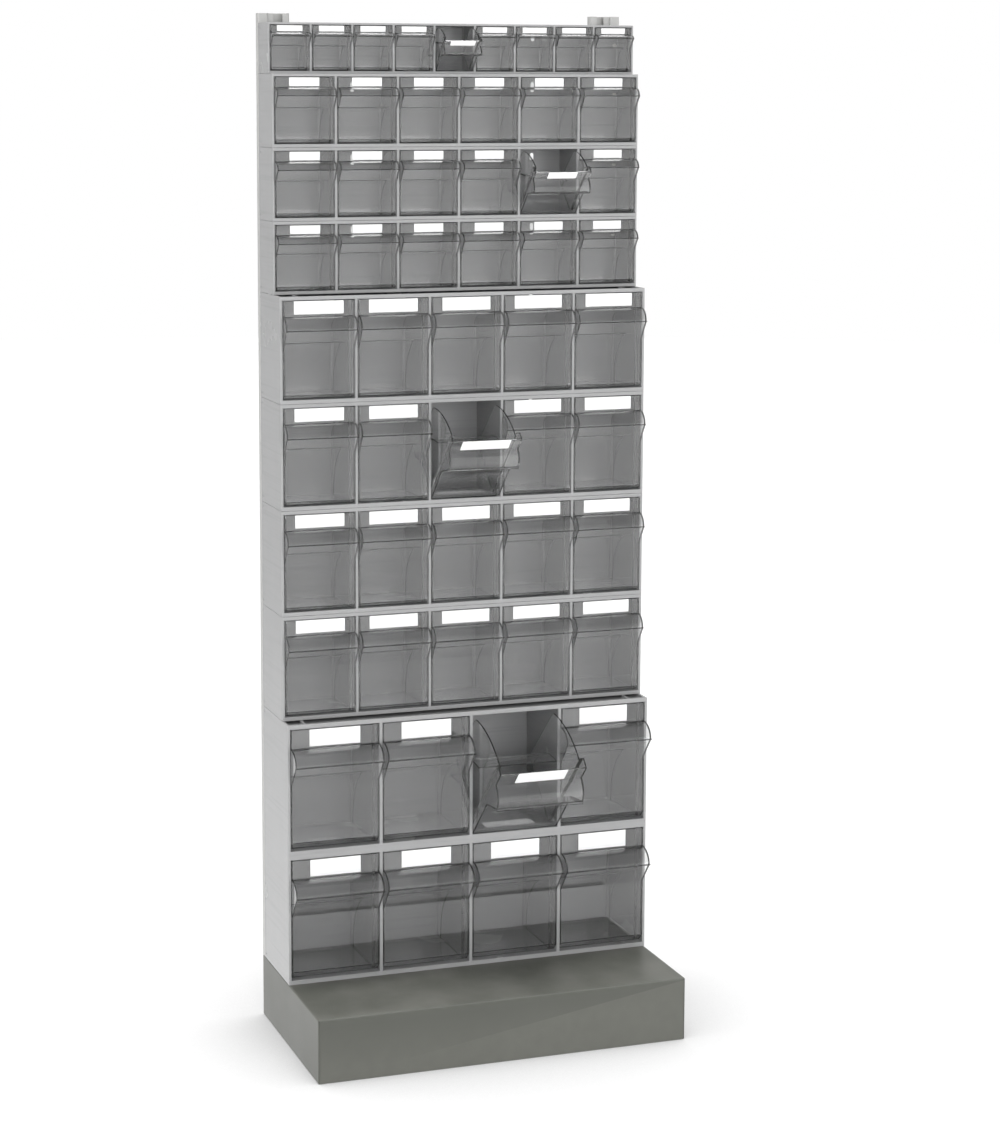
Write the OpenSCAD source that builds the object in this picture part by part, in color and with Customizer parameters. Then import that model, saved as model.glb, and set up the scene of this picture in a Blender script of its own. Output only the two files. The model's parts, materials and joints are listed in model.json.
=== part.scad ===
// Floor stand for small parts: a folded steel plinth, two steel uprights and nine stacked plastic
// housings that hold fifty-five clear bins in four sizes. Each bin tilts forward on two pins.
// The front faces -Y, the floor is z = 0, and the middle of the plinth is the origin.

/* [Stand] */
// Width of the plinth and of every housing
stand_w = 600; // [540:10:700]
// Depth of the plinth, front to back
plinth_d = 320; // [280:5:400]
// Height of the plinth
plinth_h = 100; // [60:5:160]
// Sheet thickness of the plinth
plinth_t = 2; // [1.5:0.5:3]
// Width of the hem folded inwards round the plinth's lower edge
plinth_hem = 18; // [10:1:30]
// Width across each upright
upright_w = 50; // [46:1:60]
// Depth of each upright, front to back
upright_d = 15; // [12:1:20]
// Sheet thickness of the uprights
upright_t = 1.5; // [1:0.25:2]
// Width of an upright's outer front lip
outer_lip_w = 16; // [14:1:18]
// Width of an upright's inner front lip
inner_lip_w = 11; // [8:1:13]
// Width of the step folded behind the outer lip
lip_step_w = 11; // [6:1:12]
// How far back that step lies
lip_step_d = 6; // [4:0.5:8]
// How far the uprights stand above the top housing
upright_over = 15; // [0:1:60]

/* [Housings] */
// Thickness of a housing's back
back_wall = 3; // [2:0.5:5]
// Sheet left under the tray moulded into a housing's top
tray_floor = 2; // [1.5:0.1:2.5]
// Width of the rim round the tray
tray_rim = 4; // [3:0.5:8]
// Distance of the tray's short cross ribs from a housing's ends
tray_rib_inset = 30; // [20:1:60]
// Distance of the wall-fixing slots from the housing's middle
wall_slot_x = 150; // [130:1:160]
// Distance of those slots below the housing's top
wall_slot_drop = 18; // [15:1:22]
// Width of a wall-fixing slot
wall_slot_w = 6.6; // [5:0.2:8]
// Length of a wall-fixing slot, from end to end
wall_slot_l = 11.5; // [9:0.5:14]
// Radius of the blind dowel holes in a housing's sides
dowel_hole_r = 1.4; // [1:0.1:2]
// Depth of the dowel holes
dowel_hole_d = 2; // [1:0.5:2.5]
// Distance of a dowel hole from the housing's rear, and from its top or bottom
dowel_hole_in = 8; // [6:0.5:12]

/* [Bins] */
// Angle through which a bin tilts forward
open_angle = 45; // [30:1:50]
// Thickness of a bin's side plates
plate_t = 2; // [1.6:0.1:2.4]
// Thickness of a bin's front, floor and back
shell_t = 2; // [1.6:0.1:2.4]
// Angle, from level, at which a bin's curved back ends
back_end_angle = 60; // [45:1:70]
// How far forward the side plates' rear edge leans at its top
plate_rake = 6; // [0:1:10]
// Distance over which the side plates' upper rear corner is rounded
plate_round = 6; // [2:0.5:8]
// Thickness of the ledge along the lip's tip
ledge_t = 1.4; // [1:0.1:2]
// Thickness of a label card
card_t = 0.8; // [0.4:0.1:1]
// Length of a pin inside its bore
pin_grip = 1.4; // [1:0.1:1.6]

/* [Clearances] */
// Gap between one housing and the next above it
stack_gap = 0.3; // [0.1:0.1:0.6]
// Gap on each side of a bin
side_gap = 0.6; // [0.4:0.1:1]
// Gap under a bin
floor_gap = 0.3; // [0.2:0.1:0.6]
// Gap between a bin's side plates and the housing's top as it tilts
top_gap = 1; // [0.5:0.1:1.5]
// Gap behind a bin
rear_gap = 1.5; // [1:0.1:2.5]
// Radial clearance of a pin in its bore
pin_clearance = 0.06; // [0.02:0.01:0.1]
// Gap round a label card in its recess
card_gap = 0.1; // [0.05:0.05:0.2]
// Radial clearance round the screws
screw_clearance = 0.1; // [0.05:0.05:0.2]

/* [Screws] */
// Shank radius of the housing screws
screw_r = 2; // [1.5:0.25:2.5]
// Head radius of the housing screws
screw_head_r = 3.6; // [3:0.1:4.4]
// Length of the housing screws
screw_l = 10; // [8:1:12]
// Distance of the housing screws from the stand's side
screw_inset = 9; // [8.6:0.1:9.6]
// Distance of the housing screws below each row's top
screw_drop = 30; // [26:1:34]
// Shank radius of the bolts that hold an upright on the plinth
bolt_r = 2.5; // [2:0.25:3]
// Head and nut radius of those bolts
bolt_head_r = 4.2; // [3.8:0.1:4.6]
// Head and nut height of those bolts
bolt_head_h = 3; // [2:0.5:4]

/* [Large bins, two rows of four] */
// Height of a row of large bins
large_h = 207; // [190:1:230]
// Depth of the housing of the large bins
large_d = 143; // [125:1:180]
// Thickness of its top, middle and bottom walls
large_wall = 7; // [5:0.5:9]
// Thickness of its sides
large_side = 4; // [3:0.5:5]
// Thickness of its dividers
large_divider = 5; // [4:0.5:6]
// Distance of a large bin's pins behind its front
large_pin_back = 16; // [12:0.5:20]
// Height of those pins above the housing's floor
large_pin_up = 10; // [8:0.5:12]
// Radius of those pins
large_pin_r = 3; // [2:0.1:3.5]
// Drop from the housing's top to the root of a large bin's lip
large_root = 37.5; // [36:0.5:44]
// Drop from the housing's top to the lip's tip
large_tip = 60.4; // [54:0.2:66]
// Drop from the housing's top to the lip's lower end
large_return = 97; // [80:1:120]
// How far the lip stands out
large_lip = 29; // [15:0.5:34]
// How far the ledge stands out past the lip
large_ledge = 3.5; // [1:0.5:5]
// Space between a large bin's curved back and its rear edge
large_rear = 17.5; // [8:0.5:30]
// Depth of a large bin's wide front, to the shoulder where its body begins
large_front_d = 19; // [18.5:0.5:24]
// How much narrower the body is than the front, on each side
large_shoulder = 5; // [3:0.5:7]
// How much lower the body's side plates are than the front's
large_body_drop = 6; // [0:0.5:10]
// Width of a large bin's label card
large_card_w = 82; // [60:1:100]
// Drop from the housing's top to the card's lower edge
large_card = 35.4; // [30:0.2:36]

/* [Medium bins, four rows of five] */
// Height of a row of medium bins
medium_h = 164.5; // [150:0.5:185]
// Depth of the housings of the medium bins
medium_d = 115; // [100:1:140]
// Thickness of their top and bottom walls
medium_wall = 6; // [4:0.5:8]
// Thickness of their sides
medium_side = 4; // [3:0.5:5]
// Thickness of their dividers
medium_divider = 4; // [3.5:0.5:5]
// Distance of a medium bin's pins behind its front
medium_pin_back = 10; // [8:0.5:16]
// Height of those pins above the housing's floor
medium_pin_up = 9; // [7:0.5:11]
// Radius of those pins
medium_pin_r = 3; // [2:0.1:3.5]
// Drop from the housing's top to the root of a medium bin's lip
medium_root = 31; // [29:0.5:36]
// Drop from the housing's top to the lip's tip
medium_tip = 51; // [46:0.5:58]
// Drop from the housing's top to the lip's lower end
medium_return = 82; // [66:1:100]
// How far the lip stands out
medium_lip = 19.5; // [12:0.5:24]
// How far the ledge stands out past the lip
medium_ledge = 2.5; // [1:0.5:4]
// Space between a medium bin's curved back and its rear edge
medium_rear = 14.5; // [6:0.5:24]
// Depth of a medium bin's wide front, to the shoulder where its body begins
medium_front_d = 14; // [13:0.5:19]
// How much narrower the body is than the front, on each side
medium_shoulder = 5; // [3:0.5:7]
// How much lower the body's side plates are than the front's
medium_body_drop = 7; // [0:0.5:10]
// Width of a medium bin's label card
medium_card_w = 79; // [50:1:90]
// Drop from the housing's top to the card's lower edge
medium_card = 27.7; // [22:0.1:28]

/* [Small bins, three rows of six] */
// Height of a row of small bins
small_h = 112; // [100:1:130]
// Depth of the housings of the small bins
small_d = 79; // [70:1:100]
// Thickness of their top and bottom walls
small_wall = 5; // [3.5:0.5:7]
// Thickness of their sides
small_side = 3; // [2.8:0.1:4]
// Thickness of their dividers
small_divider = 4; // [3.5:0.5:5]
// Distance of a small bin's pins behind its front
small_pin_back = 9; // [7:0.5:12]
// Height of those pins above the housing's floor
small_pin_up = 7.5; // [6.5:0.5:9]
// Radius of those pins
small_pin_r = 2.5; // [1.8:0.1:3]
// Drop from the housing's top to the root of a small bin's lip
small_root = 21; // [20.5:0.5:26]
// Drop from the housing's top to the lip's tip
small_tip = 33.5; // [30:0.5:40]
// Drop from the housing's top to the lip's lower end
small_return = 56; // [48:1:72]
// How far the lip stands out
small_lip = 16.5; // [9:0.5:22]
// How far the ledge stands out past the lip
small_ledge = 1.5; // [0.5:0.5:3]
// Space between a small bin's curved back and its rear edge
small_rear = 9; // [5:0.5:16]
// Depth of a small bin's wide front, to the shoulder where its body begins
small_front_d = 13; // [11:0.5:16]
// How much narrower the body is than the front, on each side
small_shoulder = 3.5; // [2:0.5:5]
// How much lower the body's side plates are than the front's
small_body_drop = 1; // [0:0.5:4]
// Width of a small bin's label card
small_card_w = 48; // [30:1:70]
// Drop from the housing's top to the card's lower edge
small_card = 19.7; // [15:0.1:20]

/* [Tiny bins, one row of nine] */
// Height of the row of tiny bins
tiny_h = 77; // [70:1:90]
// Depth of the housing of the tiny bins
tiny_d = 57; // [50:1:72]
// Thickness of its top and bottom walls
tiny_wall = 3.5; // [3:0.5:5]
// Thickness of its sides
tiny_side = 3; // [2.8:0.1:4]
// Thickness of its dividers
tiny_divider = 3.4; // [3.3:0.1:4.5]
// Distance of a tiny bin's pins behind its front
tiny_pin_back = 7; // [6:0.5:9]
// Height of those pins above the housing's floor
tiny_pin_up = 6; // [5:0.5:7]
// Radius of those pins
tiny_pin_r = 2; // [1.5:0.1:2.4]
// Drop from the housing's top to the root of a tiny bin's lip
tiny_root = 14.7; // [14.3:0.1:18]
// Drop from the housing's top to the lip's tip
tiny_tip = 20.5; // [19:0.5:25]
// Drop from the housing's top to the lip's lower end
tiny_return = 37.3; // [30:0.1:45]
// How far the lip stands out
tiny_lip = 12.5; // [7:0.5:16]
// How far the ledge stands out past the lip
tiny_ledge = 1; // [0.5:0.5:2]
// Space between a tiny bin's curved back and its rear edge
tiny_rear = 6; // [4:0.5:10]
// Depth of a tiny bin's wide front, to the shoulder where its body begins
tiny_front_d = 10; // [9:0.5:12]
// How much narrower the body is than the front, on each side
tiny_shoulder = 2.5; // [1.5:0.5:4]
// How much lower the body's side plates are than the front's
tiny_body_drop = 1; // [0:0.5:3]
// Width of a tiny bin's label card
tiny_card_w = 40.5; // [25:0.5:50]
// Drop from the housing's top to the card's lower edge
tiny_card = 13.7; // [10:0.1:14]

/* [Hidden] */
// Each kind of bin is one list: bins in a row, then the sizes above in the same order.
large = [4, large_h, large_d, large_wall, large_side, large_divider, large_pin_back, large_pin_up,
         large_pin_r, large_root, large_tip, large_return, large_lip, large_ledge, large_rear,
         large_front_d, large_shoulder, large_body_drop, large_card_w, large_card];
medium = [5, medium_h, medium_d, medium_wall, medium_side, medium_divider, medium_pin_back,
          medium_pin_up, medium_pin_r, medium_root, medium_tip, medium_return, medium_lip,
          medium_ledge, medium_rear, medium_front_d, medium_shoulder, medium_body_drop,
          medium_card_w, medium_card];
small = [6, small_h, small_d, small_wall, small_side, small_divider, small_pin_back, small_pin_up,
         small_pin_r, small_root, small_tip, small_return, small_lip, small_ledge, small_rear,
         small_front_d, small_shoulder, small_body_drop, small_card_w, small_card];
tiny = [9, tiny_h, tiny_d, tiny_wall, tiny_side, tiny_divider, tiny_pin_back, tiny_pin_up,
        tiny_pin_r, tiny_root, tiny_tip, tiny_return, tiny_lip, tiny_ledge, tiny_rear,
        tiny_front_d, tiny_shoulder, tiny_body_drop, tiny_card_w, tiny_card];
function count(k) = k[0];
function height(k) = k[1];
function depth(k) = k[2];
function wall(k) = k[3];
function side(k) = k[4];
function divider(k) = k[5];
function pin_back(k) = k[6];
function pin_up(k) = k[7];
function pin_r(k) = k[8];
function lip(k) = k[12];
function ledge(k) = k[13];
function front_d(k) = k[15];
function shoulder(k) = k[16];
function card_w(k) = k[18];

// Heights of the lip and of the card's lower edge above the pins.
function above_pins(k, drop) = height(k) - drop - wall(k) - pin_up(k);
function root_z(k) = above_pins(k, k[9]);
function tip_z(k) = above_pins(k, k[10]);
function return_z(k) = above_pins(k, k[11]);
function card_z(k) = above_pins(k, k[19]);

// Places in the stack: rows of each size, and the height at which each stack starts.
medium_rows = 4;
small_rows = 3;
large_rows = 2;
medium_z = plinth_h + large_rows * large_h;
small_z = medium_z + medium_rows * medium_h;
tiny_z = small_z + small_rows * small_h;
stack_top = tiny_z + tiny_h;
stand_rear = plinth_d / 2;
housing_rear = stand_rear - upright_d;
cut = 1;
arc_step = 5;

// Pockets of a housing and the bins in them.
function pocket_w(k) = (stand_w - 2 * side(k) - (count(k) - 1) * divider(k)) / count(k);
function pocket_x(k, i) = -stand_w / 2 + side(k) + i * (pocket_w(k) + divider(k));
function bin_x(k, i) = pocket_x(k, i) + pocket_w(k) / 2;
function bin_w(k) = pocket_w(k) - 2 * side_gap;
function body_w(k) = bin_w(k) - 2 * shoulder(k);
function pivot_y(k) = housing_rear - depth(k) + pin_back(k);
function pivot_z(k) = wall(k) + pin_up(k);

// Radii about the pins: the bin's underside, its side plates' top edge and its curved back.
function sole_r(k) = pin_up(k) - floor_gap;
function plate_r(k) = height(k) - 2 * wall(k) - pin_up(k) - top_gap;
function body_r(k) = plate_r(k) - k[17];
function rear_y(k) = depth(k) - pin_back(k) - back_wall - rear_gap;
function back_r(k) = rear_y(k) - k[14];

// Depth of the shoulder behind the pins.
function shoulder_y(k) = front_d(k) - pin_back(k);

// A circle's points about the pins, a bend from a to c round the corner b, and a lip's curve
// from its root to its tip.
function arc(r, a, b) = [for (i = [0:ceil(abs(b - a) / arc_step)])
    let (t = a + (b - a) * i / ceil(abs(b - a) / arc_step)) [r * cos(t), r * sin(t)]];
function bend(a, b, c) = [for (t = [0:0.25:1])
    pow(1 - t, 2) * a + 2 * t * (1 - t) * b + t * t * c];
function lip_curve(k, inset) = [for (t = [0:15:90])
    [-pin_back(k) - (lip(k) - inset) * sin(t),
     tip_z(k) + (root_z(k) - tip_z(k) - inset) * cos(t)]];
function reversed(p) = [for (i = [len(p) - 1:-1:0]) p[i]];

// A bin's outline in y and z about its pins: the front from its top edge down to the slanted
// heel that lands on the housing's floor when the bin is open.
function front_top(k, inset) =
    [-pin_back(k) + inset, sqrt(pow(plate_r(k), 2) - pow(pin_back(k) - inset, 2))];
function heel_top(k, inset) = let (r = sole_r(k) - inset, f = pin_back(k) - inset)
    [-f, (f * sin(open_angle) - r) / cos(open_angle)];
function front_line(k) = concat(
    [front_top(k, 0)], lip_curve(k, 0),
    [[-pin_back(k) - lip(k) - ledge(k), tip_z(k)],
     [-pin_back(k) - lip(k) - ledge(k), tip_z(k) - ledge_t],
     [-pin_back(k) - lip(k), tip_z(k) - ledge_t],
     [-pin_back(k), return_z(k)], heel_top(k, 0)],
    arc(sole_r(k), 270 - open_angle, 270));
function front_inside(k) = concat(
    [front_top(k, shell_t), [-pin_back(k) + shell_t, root_z(k) - shell_t]], lip_curve(k, shell_t),
    [[-pin_back(k) + shell_t, return_z(k)], heel_top(k, shell_t)],
    arc(sole_r(k) - shell_t, 270 - open_angle, 270));

// The side plates fill the outline up to a circle of radius r about the pins, which clears the
// housing's top. Their upper rear corner is rounded.
module plate_outline(k, r) {
    heel = [rear_y(k), -sole_r(k) + plate_rake / 2];
    corner = [rear_y(k) - plate_rake, sqrt(pow(r, 2) - pow(rear_y(k) - plate_rake, 2))];
    round_a = atan2(corner[1], corner[0]) + plate_round / r * 180 / PI;
    round_start = corner + (heel - corner) * plate_round / norm(heel - corner);
    polygon(concat(
        front_line(k),
        [[rear_y(k) - plate_rake / 2, -sole_r(k)], heel],
        bend(round_start, corner, [r * cos(round_a), r * sin(round_a)]),
        arc(r, round_a, atan2(front_top(k, 0)[1], front_top(k, 0)[0]))));
}

// The front, floor and curved back are one bent wall.
module shell_outline(k) {
    inner_r = back_r(k) - shell_t;
    polygon(concat(
        front_line(k),
        arc(back_r(k), -asin(sole_r(k) / back_r(k)), back_end_angle),
        arc(inner_r, back_end_angle, -asin((sole_r(k) - shell_t) / inner_r)),
        reversed(front_inside(k))));
}

// Extrudes an outline in y and z along x, centred.
module across(w) {
    rotate([90, 0, 90])
        linear_extrude(height = w, center = true)
            children();
}

// Keeps what lies between two depths about the pins.
module between(y0, y1) {
    intersection() {
        children();
        translate([-stand_w / 2, y0, -stand_w / 2])
            cube([stand_w, y1 - y0, stand_w]);
    }
}

module card_recess(k) {
    w = card_w(k) + 2 * card_gap;
    translate([-w / 2, -pin_back(k) - cut, card_z(k) - card_gap])
        cube([w, cut + card_t + card_gap, height(k)]);
}

module label_card(k) {
    color("white")
        translate([-card_w(k) / 2, -pin_back(k), card_z(k)])
            cube([card_w(k), card_t, front_top(k, 0)[1] - card_z(k) - card_gap]);
}

module pins(k) {
    tip = bin_w(k) / 2 + side_gap + pin_grip;
    root = bin_w(k) / 2 - plate_t;
    for (end = [-1, 1])
        translate([end * (tip + root) / 2, 0, 0])
            rotate([0, 90, 0])
                cylinder(r = pin_r(k), h = tip - root, center = true, $fn = 32);
}

// The wide front of a bin: the front wall, the floor before the shoulder, and short side plates.
module bin_front(k) {
    between(-depth(k), shoulder_y(k)) {
        across(bin_w(k)) shell_outline(k);
        for (end = [-1, 1])
            translate([end * (bin_w(k) - plate_t) / 2, 0, 0])
                across(plate_t) plate_outline(k, plate_r(k));
    }
    for (end = [-1, 1])
        translate([end * (bin_w(k) + body_w(k) - 2 * plate_t) / 4, 0, 0])
            between(shoulder_y(k) - shell_t, shoulder_y(k))
                across(shoulder(k) + plate_t) plate_outline(k, plate_r(k));
}

// The narrower body behind it.
module bin_body(k) {
    between(shoulder_y(k) - shell_t, depth(k)) {
        across(body_w(k)) shell_outline(k);
        for (end = [-1, 1])
            translate([end * (body_w(k) - plate_t) / 2, 0, 0])
                across(plate_t) plate_outline(k, body_r(k));
    }
}

// One clear bin with its label card, upright about its pins.
module bin(k) {
    color([0.55, 0.56, 0.57, 0.45])
        difference() {
            union() {
                bin_front(k);
                bin_body(k);
                pins(k);
            }
            card_recess(k);
        }
    label_card(k);
}

// The tray in a housing's top, between its rim, its short ribs and its rear.
module tray(k, top) {
    inner_w = stand_w - 2 * tray_rim;
    rib_w = 3;
    rib_l = 30;
    y0 = housing_rear - depth(k) + tray_rim;
    difference() {
        translate([-inner_w / 2, y0, top - wall(k) + tray_floor])
            cube([inner_w, depth(k) - 2 * tray_rim, wall(k)]);
        for (end = [-1, 1])
            translate([end * (stand_w / 2 - tray_rib_inset) - rib_w / 2, y0 - cut, top - wall(k)])
                cube([rib_w, rib_l + cut, wall(k)]);
    }
}

module wall_slot() {
    half = (wall_slot_l - wall_slot_w) / 2;
    rotate([90, 0, 0])
        for (end = [-1, 1])
            translate([0, end * half, 0])
                cylinder(r = wall_slot_w / 2, h = back_wall + 2 * cut, center = true, $fn = 32);
    cube([wall_slot_w, back_wall + 2 * cut, 2 * half], center = true);
}

// A countersunk screw along +Y with its flat face at the origin, also used as a cutter.
module countersunk(r, head_r, l) {
    rotate([-90, 0, 0]) {
        cylinder(r = r, h = l, $fn = 32);
        cylinder(r1 = head_r, r2 = r, h = head_r - r, $fn = 32);
    }
}

// Where the screws of one row go: to the left and right upright, below the row's top.
function screw_places(k, z) = [for (end = [-1, 1])
    [end * (stand_w / 2 - screw_inset), housing_rear - back_wall, z + height(k) - screw_drop]];

// A housing with one or more rows of pockets, standing at height z.
module housing(k, z, rows) {
    front = housing_rear - depth(k);
    top = z + rows * height(k);
    color([0.72, 0.72, 0.72])
        difference() {
            translate([-stand_w / 2, front, z])
                cube([stand_w, depth(k), rows * height(k) - stack_gap]);
            for (row = [0:rows - 1], i = [0:count(k) - 1])
                translate([pocket_x(k, i), front - cut, z + row * height(k) + wall(k)])
                    cube([pocket_w(k), depth(k) - back_wall + cut, height(k) - 2 * wall(k)]);
            for (row = [0:rows - 1])
                translate([0, pivot_y(k), z + row * height(k) + pivot_z(k)])
                    pin_bores(k);
            tray(k, top);
            if (count(k) != 4)
                for (end = [-1, 1])
                    translate([end * wall_slot_x, housing_rear - back_wall / 2, top - wall_slot_drop])
                        wall_slot();
            for (end = [-1, 1], level = [z + dowel_hole_in, top - dowel_hole_in])
                translate([end * stand_w / 2, housing_rear - dowel_hole_in, level])
                    rotate([0, 90, 0])
                        cylinder(r = dowel_hole_r, h = 2 * dowel_hole_d, center = true, $fn = 24);
            for (row = [0:rows - 1], p = screw_places(k, z + row * height(k)))
                translate(p)
                    countersunk(screw_r + screw_clearance, screw_head_r + screw_clearance, screw_l);
        }
}

// The pins' bores: through each divider, and blind in the two sides.
module pin_bores(k) {
    r = pin_r(k) + pin_clearance;
    blind = pin_grip + side_gap;
    for (i = [1:count(k) - 1])
        translate([pocket_x(k, i) - divider(k) / 2, 0, 0])
            rotate([0, 90, 0])
                cylinder(r = r, h = divider(k) + cut, center = true, $fn = 32);
    for (end = [-1, 1])
        translate([end * (stand_w / 2 - side(k)), 0, 0])
            rotate([0, 90, 0])
                cylinder(r = r, h = 2 * blind, center = true, $fn = 32);
}

module upper_housings() {
    housing(tiny, tiny_z, 1);
    for (row = [0:small_rows - 1])
        housing(small, small_z + row * small_h, 1);
}

module lower_housings() {
    for (row = [0:medium_rows - 1])
        housing(medium, medium_z + row * medium_h, 1);
    housing(large, plinth_h, large_rows);
}

// Bolts that hold an upright's foot on the plinth, at these distances from its outer side: one
// behind the outer lip, and one halfway between the step and the inner wall.
step_end = outer_lip_w - upright_t + lip_step_w;
bolt_places = [outer_lip_w / 2, (step_end + upright_w - upright_t) / 2];
bolt_y = housing_rear + upright_d / 2;
foot_t = 3;

// One upright with its outer side at x = 0 and its front lips at y = 0.
module upright() {
    l = stack_top + upright_over - plinth_h;
    color([0.76, 0.76, 0.75])
        difference() {
            union() {
                cube([upright_t, upright_d, l]);
                translate([upright_w - upright_t, 0, 0]) cube([upright_t, upright_d, l]);
                translate([0, upright_d - upright_t, 0]) cube([upright_w, upright_t, l]);
                cube([outer_lip_w, upright_t, l]);
                translate([upright_w - inner_lip_w, 0, 0]) cube([inner_lip_w, upright_t, l]);
                translate([outer_lip_w - upright_t, 0, 0]) cube([upright_t, lip_step_d, l]);
                translate([outer_lip_w - upright_t, lip_step_d - upright_t, 0])
                    cube([lip_step_w, upright_t, l]);
                cube([upright_w, upright_d, foot_t]);
            }
            for (x = bolt_places)
                translate([x, bolt_y - housing_rear, -cut])
                    cylinder(r = bolt_r + screw_clearance, h = foot_t + 2 * cut, $fn = 32);
            for (z = screw_levels)
                translate([screw_inset, 0, z - plinth_h])
                    rotate([90, 0, 0])
                        cylinder(r = screw_r + screw_clearance, h = 3 * upright_t, center = true, $fn = 32);
        }
}

// Heights of all the housing screws.
screw_levels = concat(
    [for (row = [0:large_rows - 1]) screw_places(large, plinth_h + row * large_h)[0][2]],
    [for (row = [0:medium_rows - 1]) screw_places(medium, medium_z + row * medium_h)[0][2]],
    [for (row = [0:small_rows - 1]) screw_places(small, small_z + row * small_h)[0][2]],
    [screw_places(tiny, tiny_z)[0][2]]);

module uprights() {
    for (end = [0, 1])
        mirror([end, 0, 0])
            translate([-stand_w / 2, housing_rear, plinth_h])
                upright();
}

// The plinth is a folded sheet box, open below, with a hem round its lower edge.
module plinth() {
    inner_w = stand_w - 2 * plinth_t;
    inner_d = plinth_d - 2 * plinth_t;
    color([0.42, 0.43, 0.4])
        difference() {
            translate([-stand_w / 2, -plinth_d / 2, 0])
                cube([stand_w, plinth_d, plinth_h]);
            translate([-inner_w / 2, -inner_d / 2, plinth_t])
                cube([inner_w, inner_d, plinth_h - 2 * plinth_t]);
            translate([-inner_w / 2 + plinth_hem, -inner_d / 2 + plinth_hem, -cut])
                cube([inner_w - 2 * plinth_hem, inner_d - 2 * plinth_hem, plinth_h / 2]);
            for (end = [-1, 1], x = bolt_places)
                translate([end * (stand_w / 2 - x), bolt_y, plinth_h])
                    cylinder(r = bolt_r + screw_clearance, h = 3 * plinth_t, center = true, $fn = 32);
        }
}

// A bolt through the plinth's top and an upright's foot, with its head below and its nut above.
module foot_bolt() {
    grip = plinth_t + foot_t;
    cylinder(r = bolt_r, h = grip + bolt_head_h, $fn = 32);
    translate([0, 0, -bolt_head_h]) cylinder(r = bolt_head_r, h = bolt_head_h, $fn = 32);
    translate([0, 0, grip]) cylinder(r = bolt_head_r, h = bolt_head_h, $fn = 6);
}

module screws() {
    color([0.6, 0.6, 0.58]) {
        for (row = [0:large_rows - 1]) row_screws(large, plinth_h + row * large_h);
        for (row = [0:medium_rows - 1]) row_screws(medium, medium_z + row * medium_h);
        for (row = [0:small_rows - 1]) row_screws(small, small_z + row * small_h);
        row_screws(tiny, tiny_z);
        for (end = [-1, 1], x = bolt_places)
            translate([end * (stand_w / 2 - x), bolt_y, plinth_h - plinth_t])
                foot_bolt();
    }
}

module row_screws(k, z) {
    for (p = screw_places(k, z))
        translate(p)
            countersunk(screw_r, screw_head_r, screw_l);
}

// Every bin: its node's name, its kind, the height of its row, its place in the row, and
// whether it stands open. Rows are lettered from the top.
function row_bins(name, k, z, open_one) = [for (i = [0:count(k) - 1])
    [str(name, i + 1), k, z, i, i + 1 == open_one]];
bins = concat(
    row_bins("tiny_bin_", tiny, tiny_z, 5),
    row_bins("small_bin_a", small, small_z + 2 * small_h, 0),
    row_bins("small_bin_b", small, small_z + small_h, 5),
    row_bins("small_bin_c", small, small_z, 0),
    row_bins("medium_bin_a", medium, medium_z + 3 * medium_h, 0),
    row_bins("medium_bin_b", medium, medium_z + 2 * medium_h, 3),
    row_bins("medium_bin_c", medium, medium_z + medium_h, 0),
    row_bins("medium_bin_d", medium, medium_z, 0),
    row_bins("large_bin_a", large, plinth_h + large_h, 3),
    row_bins("large_bin_b", large, plinth_h, 0));

module placed_bin(b) {
    k = b[1];
    translate([bin_x(k, b[3]), pivot_y(k), b[2] + pivot_z(k)])
        rotate([b[4] ? open_angle : 0, 0, 0])
            bin(k);
}

plinth();
uprights();
upper_housings();
lower_housings();
screws();
for (b = bins) placed_bin(b);
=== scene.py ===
# %% [markdown]
# # A floor stand of clear tilt-out bins
# The real object is a folded steel plinth, two steel uprights and nine stacked plastic housings
# that hold fifty-five clear bins. This lesson dresses its CAD frame for a studio picture. Every
# piece is modelled in millimetres and then scaled to metres, the frame's own unit.

# %% The frame that everything is built around
import json
from math import asin, atan2, ceil, copysign, cos, degrees, hypot, pi, radians, sin, sqrt

import bmesh
import bpy
from mathutils import Matrix, Vector


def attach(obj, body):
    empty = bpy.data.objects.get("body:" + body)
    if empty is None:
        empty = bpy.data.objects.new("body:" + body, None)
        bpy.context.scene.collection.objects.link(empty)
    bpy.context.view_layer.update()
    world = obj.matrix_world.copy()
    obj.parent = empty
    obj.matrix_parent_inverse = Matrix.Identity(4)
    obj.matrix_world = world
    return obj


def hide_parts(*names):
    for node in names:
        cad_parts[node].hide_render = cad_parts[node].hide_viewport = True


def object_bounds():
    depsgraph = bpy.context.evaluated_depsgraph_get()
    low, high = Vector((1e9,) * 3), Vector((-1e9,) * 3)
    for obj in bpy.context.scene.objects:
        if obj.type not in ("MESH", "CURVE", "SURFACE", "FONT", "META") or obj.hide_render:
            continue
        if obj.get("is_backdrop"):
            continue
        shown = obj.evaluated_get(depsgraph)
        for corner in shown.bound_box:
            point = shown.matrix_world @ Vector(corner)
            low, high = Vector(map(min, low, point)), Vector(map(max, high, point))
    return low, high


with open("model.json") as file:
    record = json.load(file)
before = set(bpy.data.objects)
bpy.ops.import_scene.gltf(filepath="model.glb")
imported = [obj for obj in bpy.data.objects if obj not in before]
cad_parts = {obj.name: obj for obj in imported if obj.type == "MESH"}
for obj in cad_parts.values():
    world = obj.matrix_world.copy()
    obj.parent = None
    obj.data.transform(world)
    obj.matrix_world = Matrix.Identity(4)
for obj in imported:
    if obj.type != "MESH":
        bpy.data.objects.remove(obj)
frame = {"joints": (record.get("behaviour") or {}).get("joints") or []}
cad_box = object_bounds()
scene = bpy.context.scene
MM = 0.001

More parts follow.
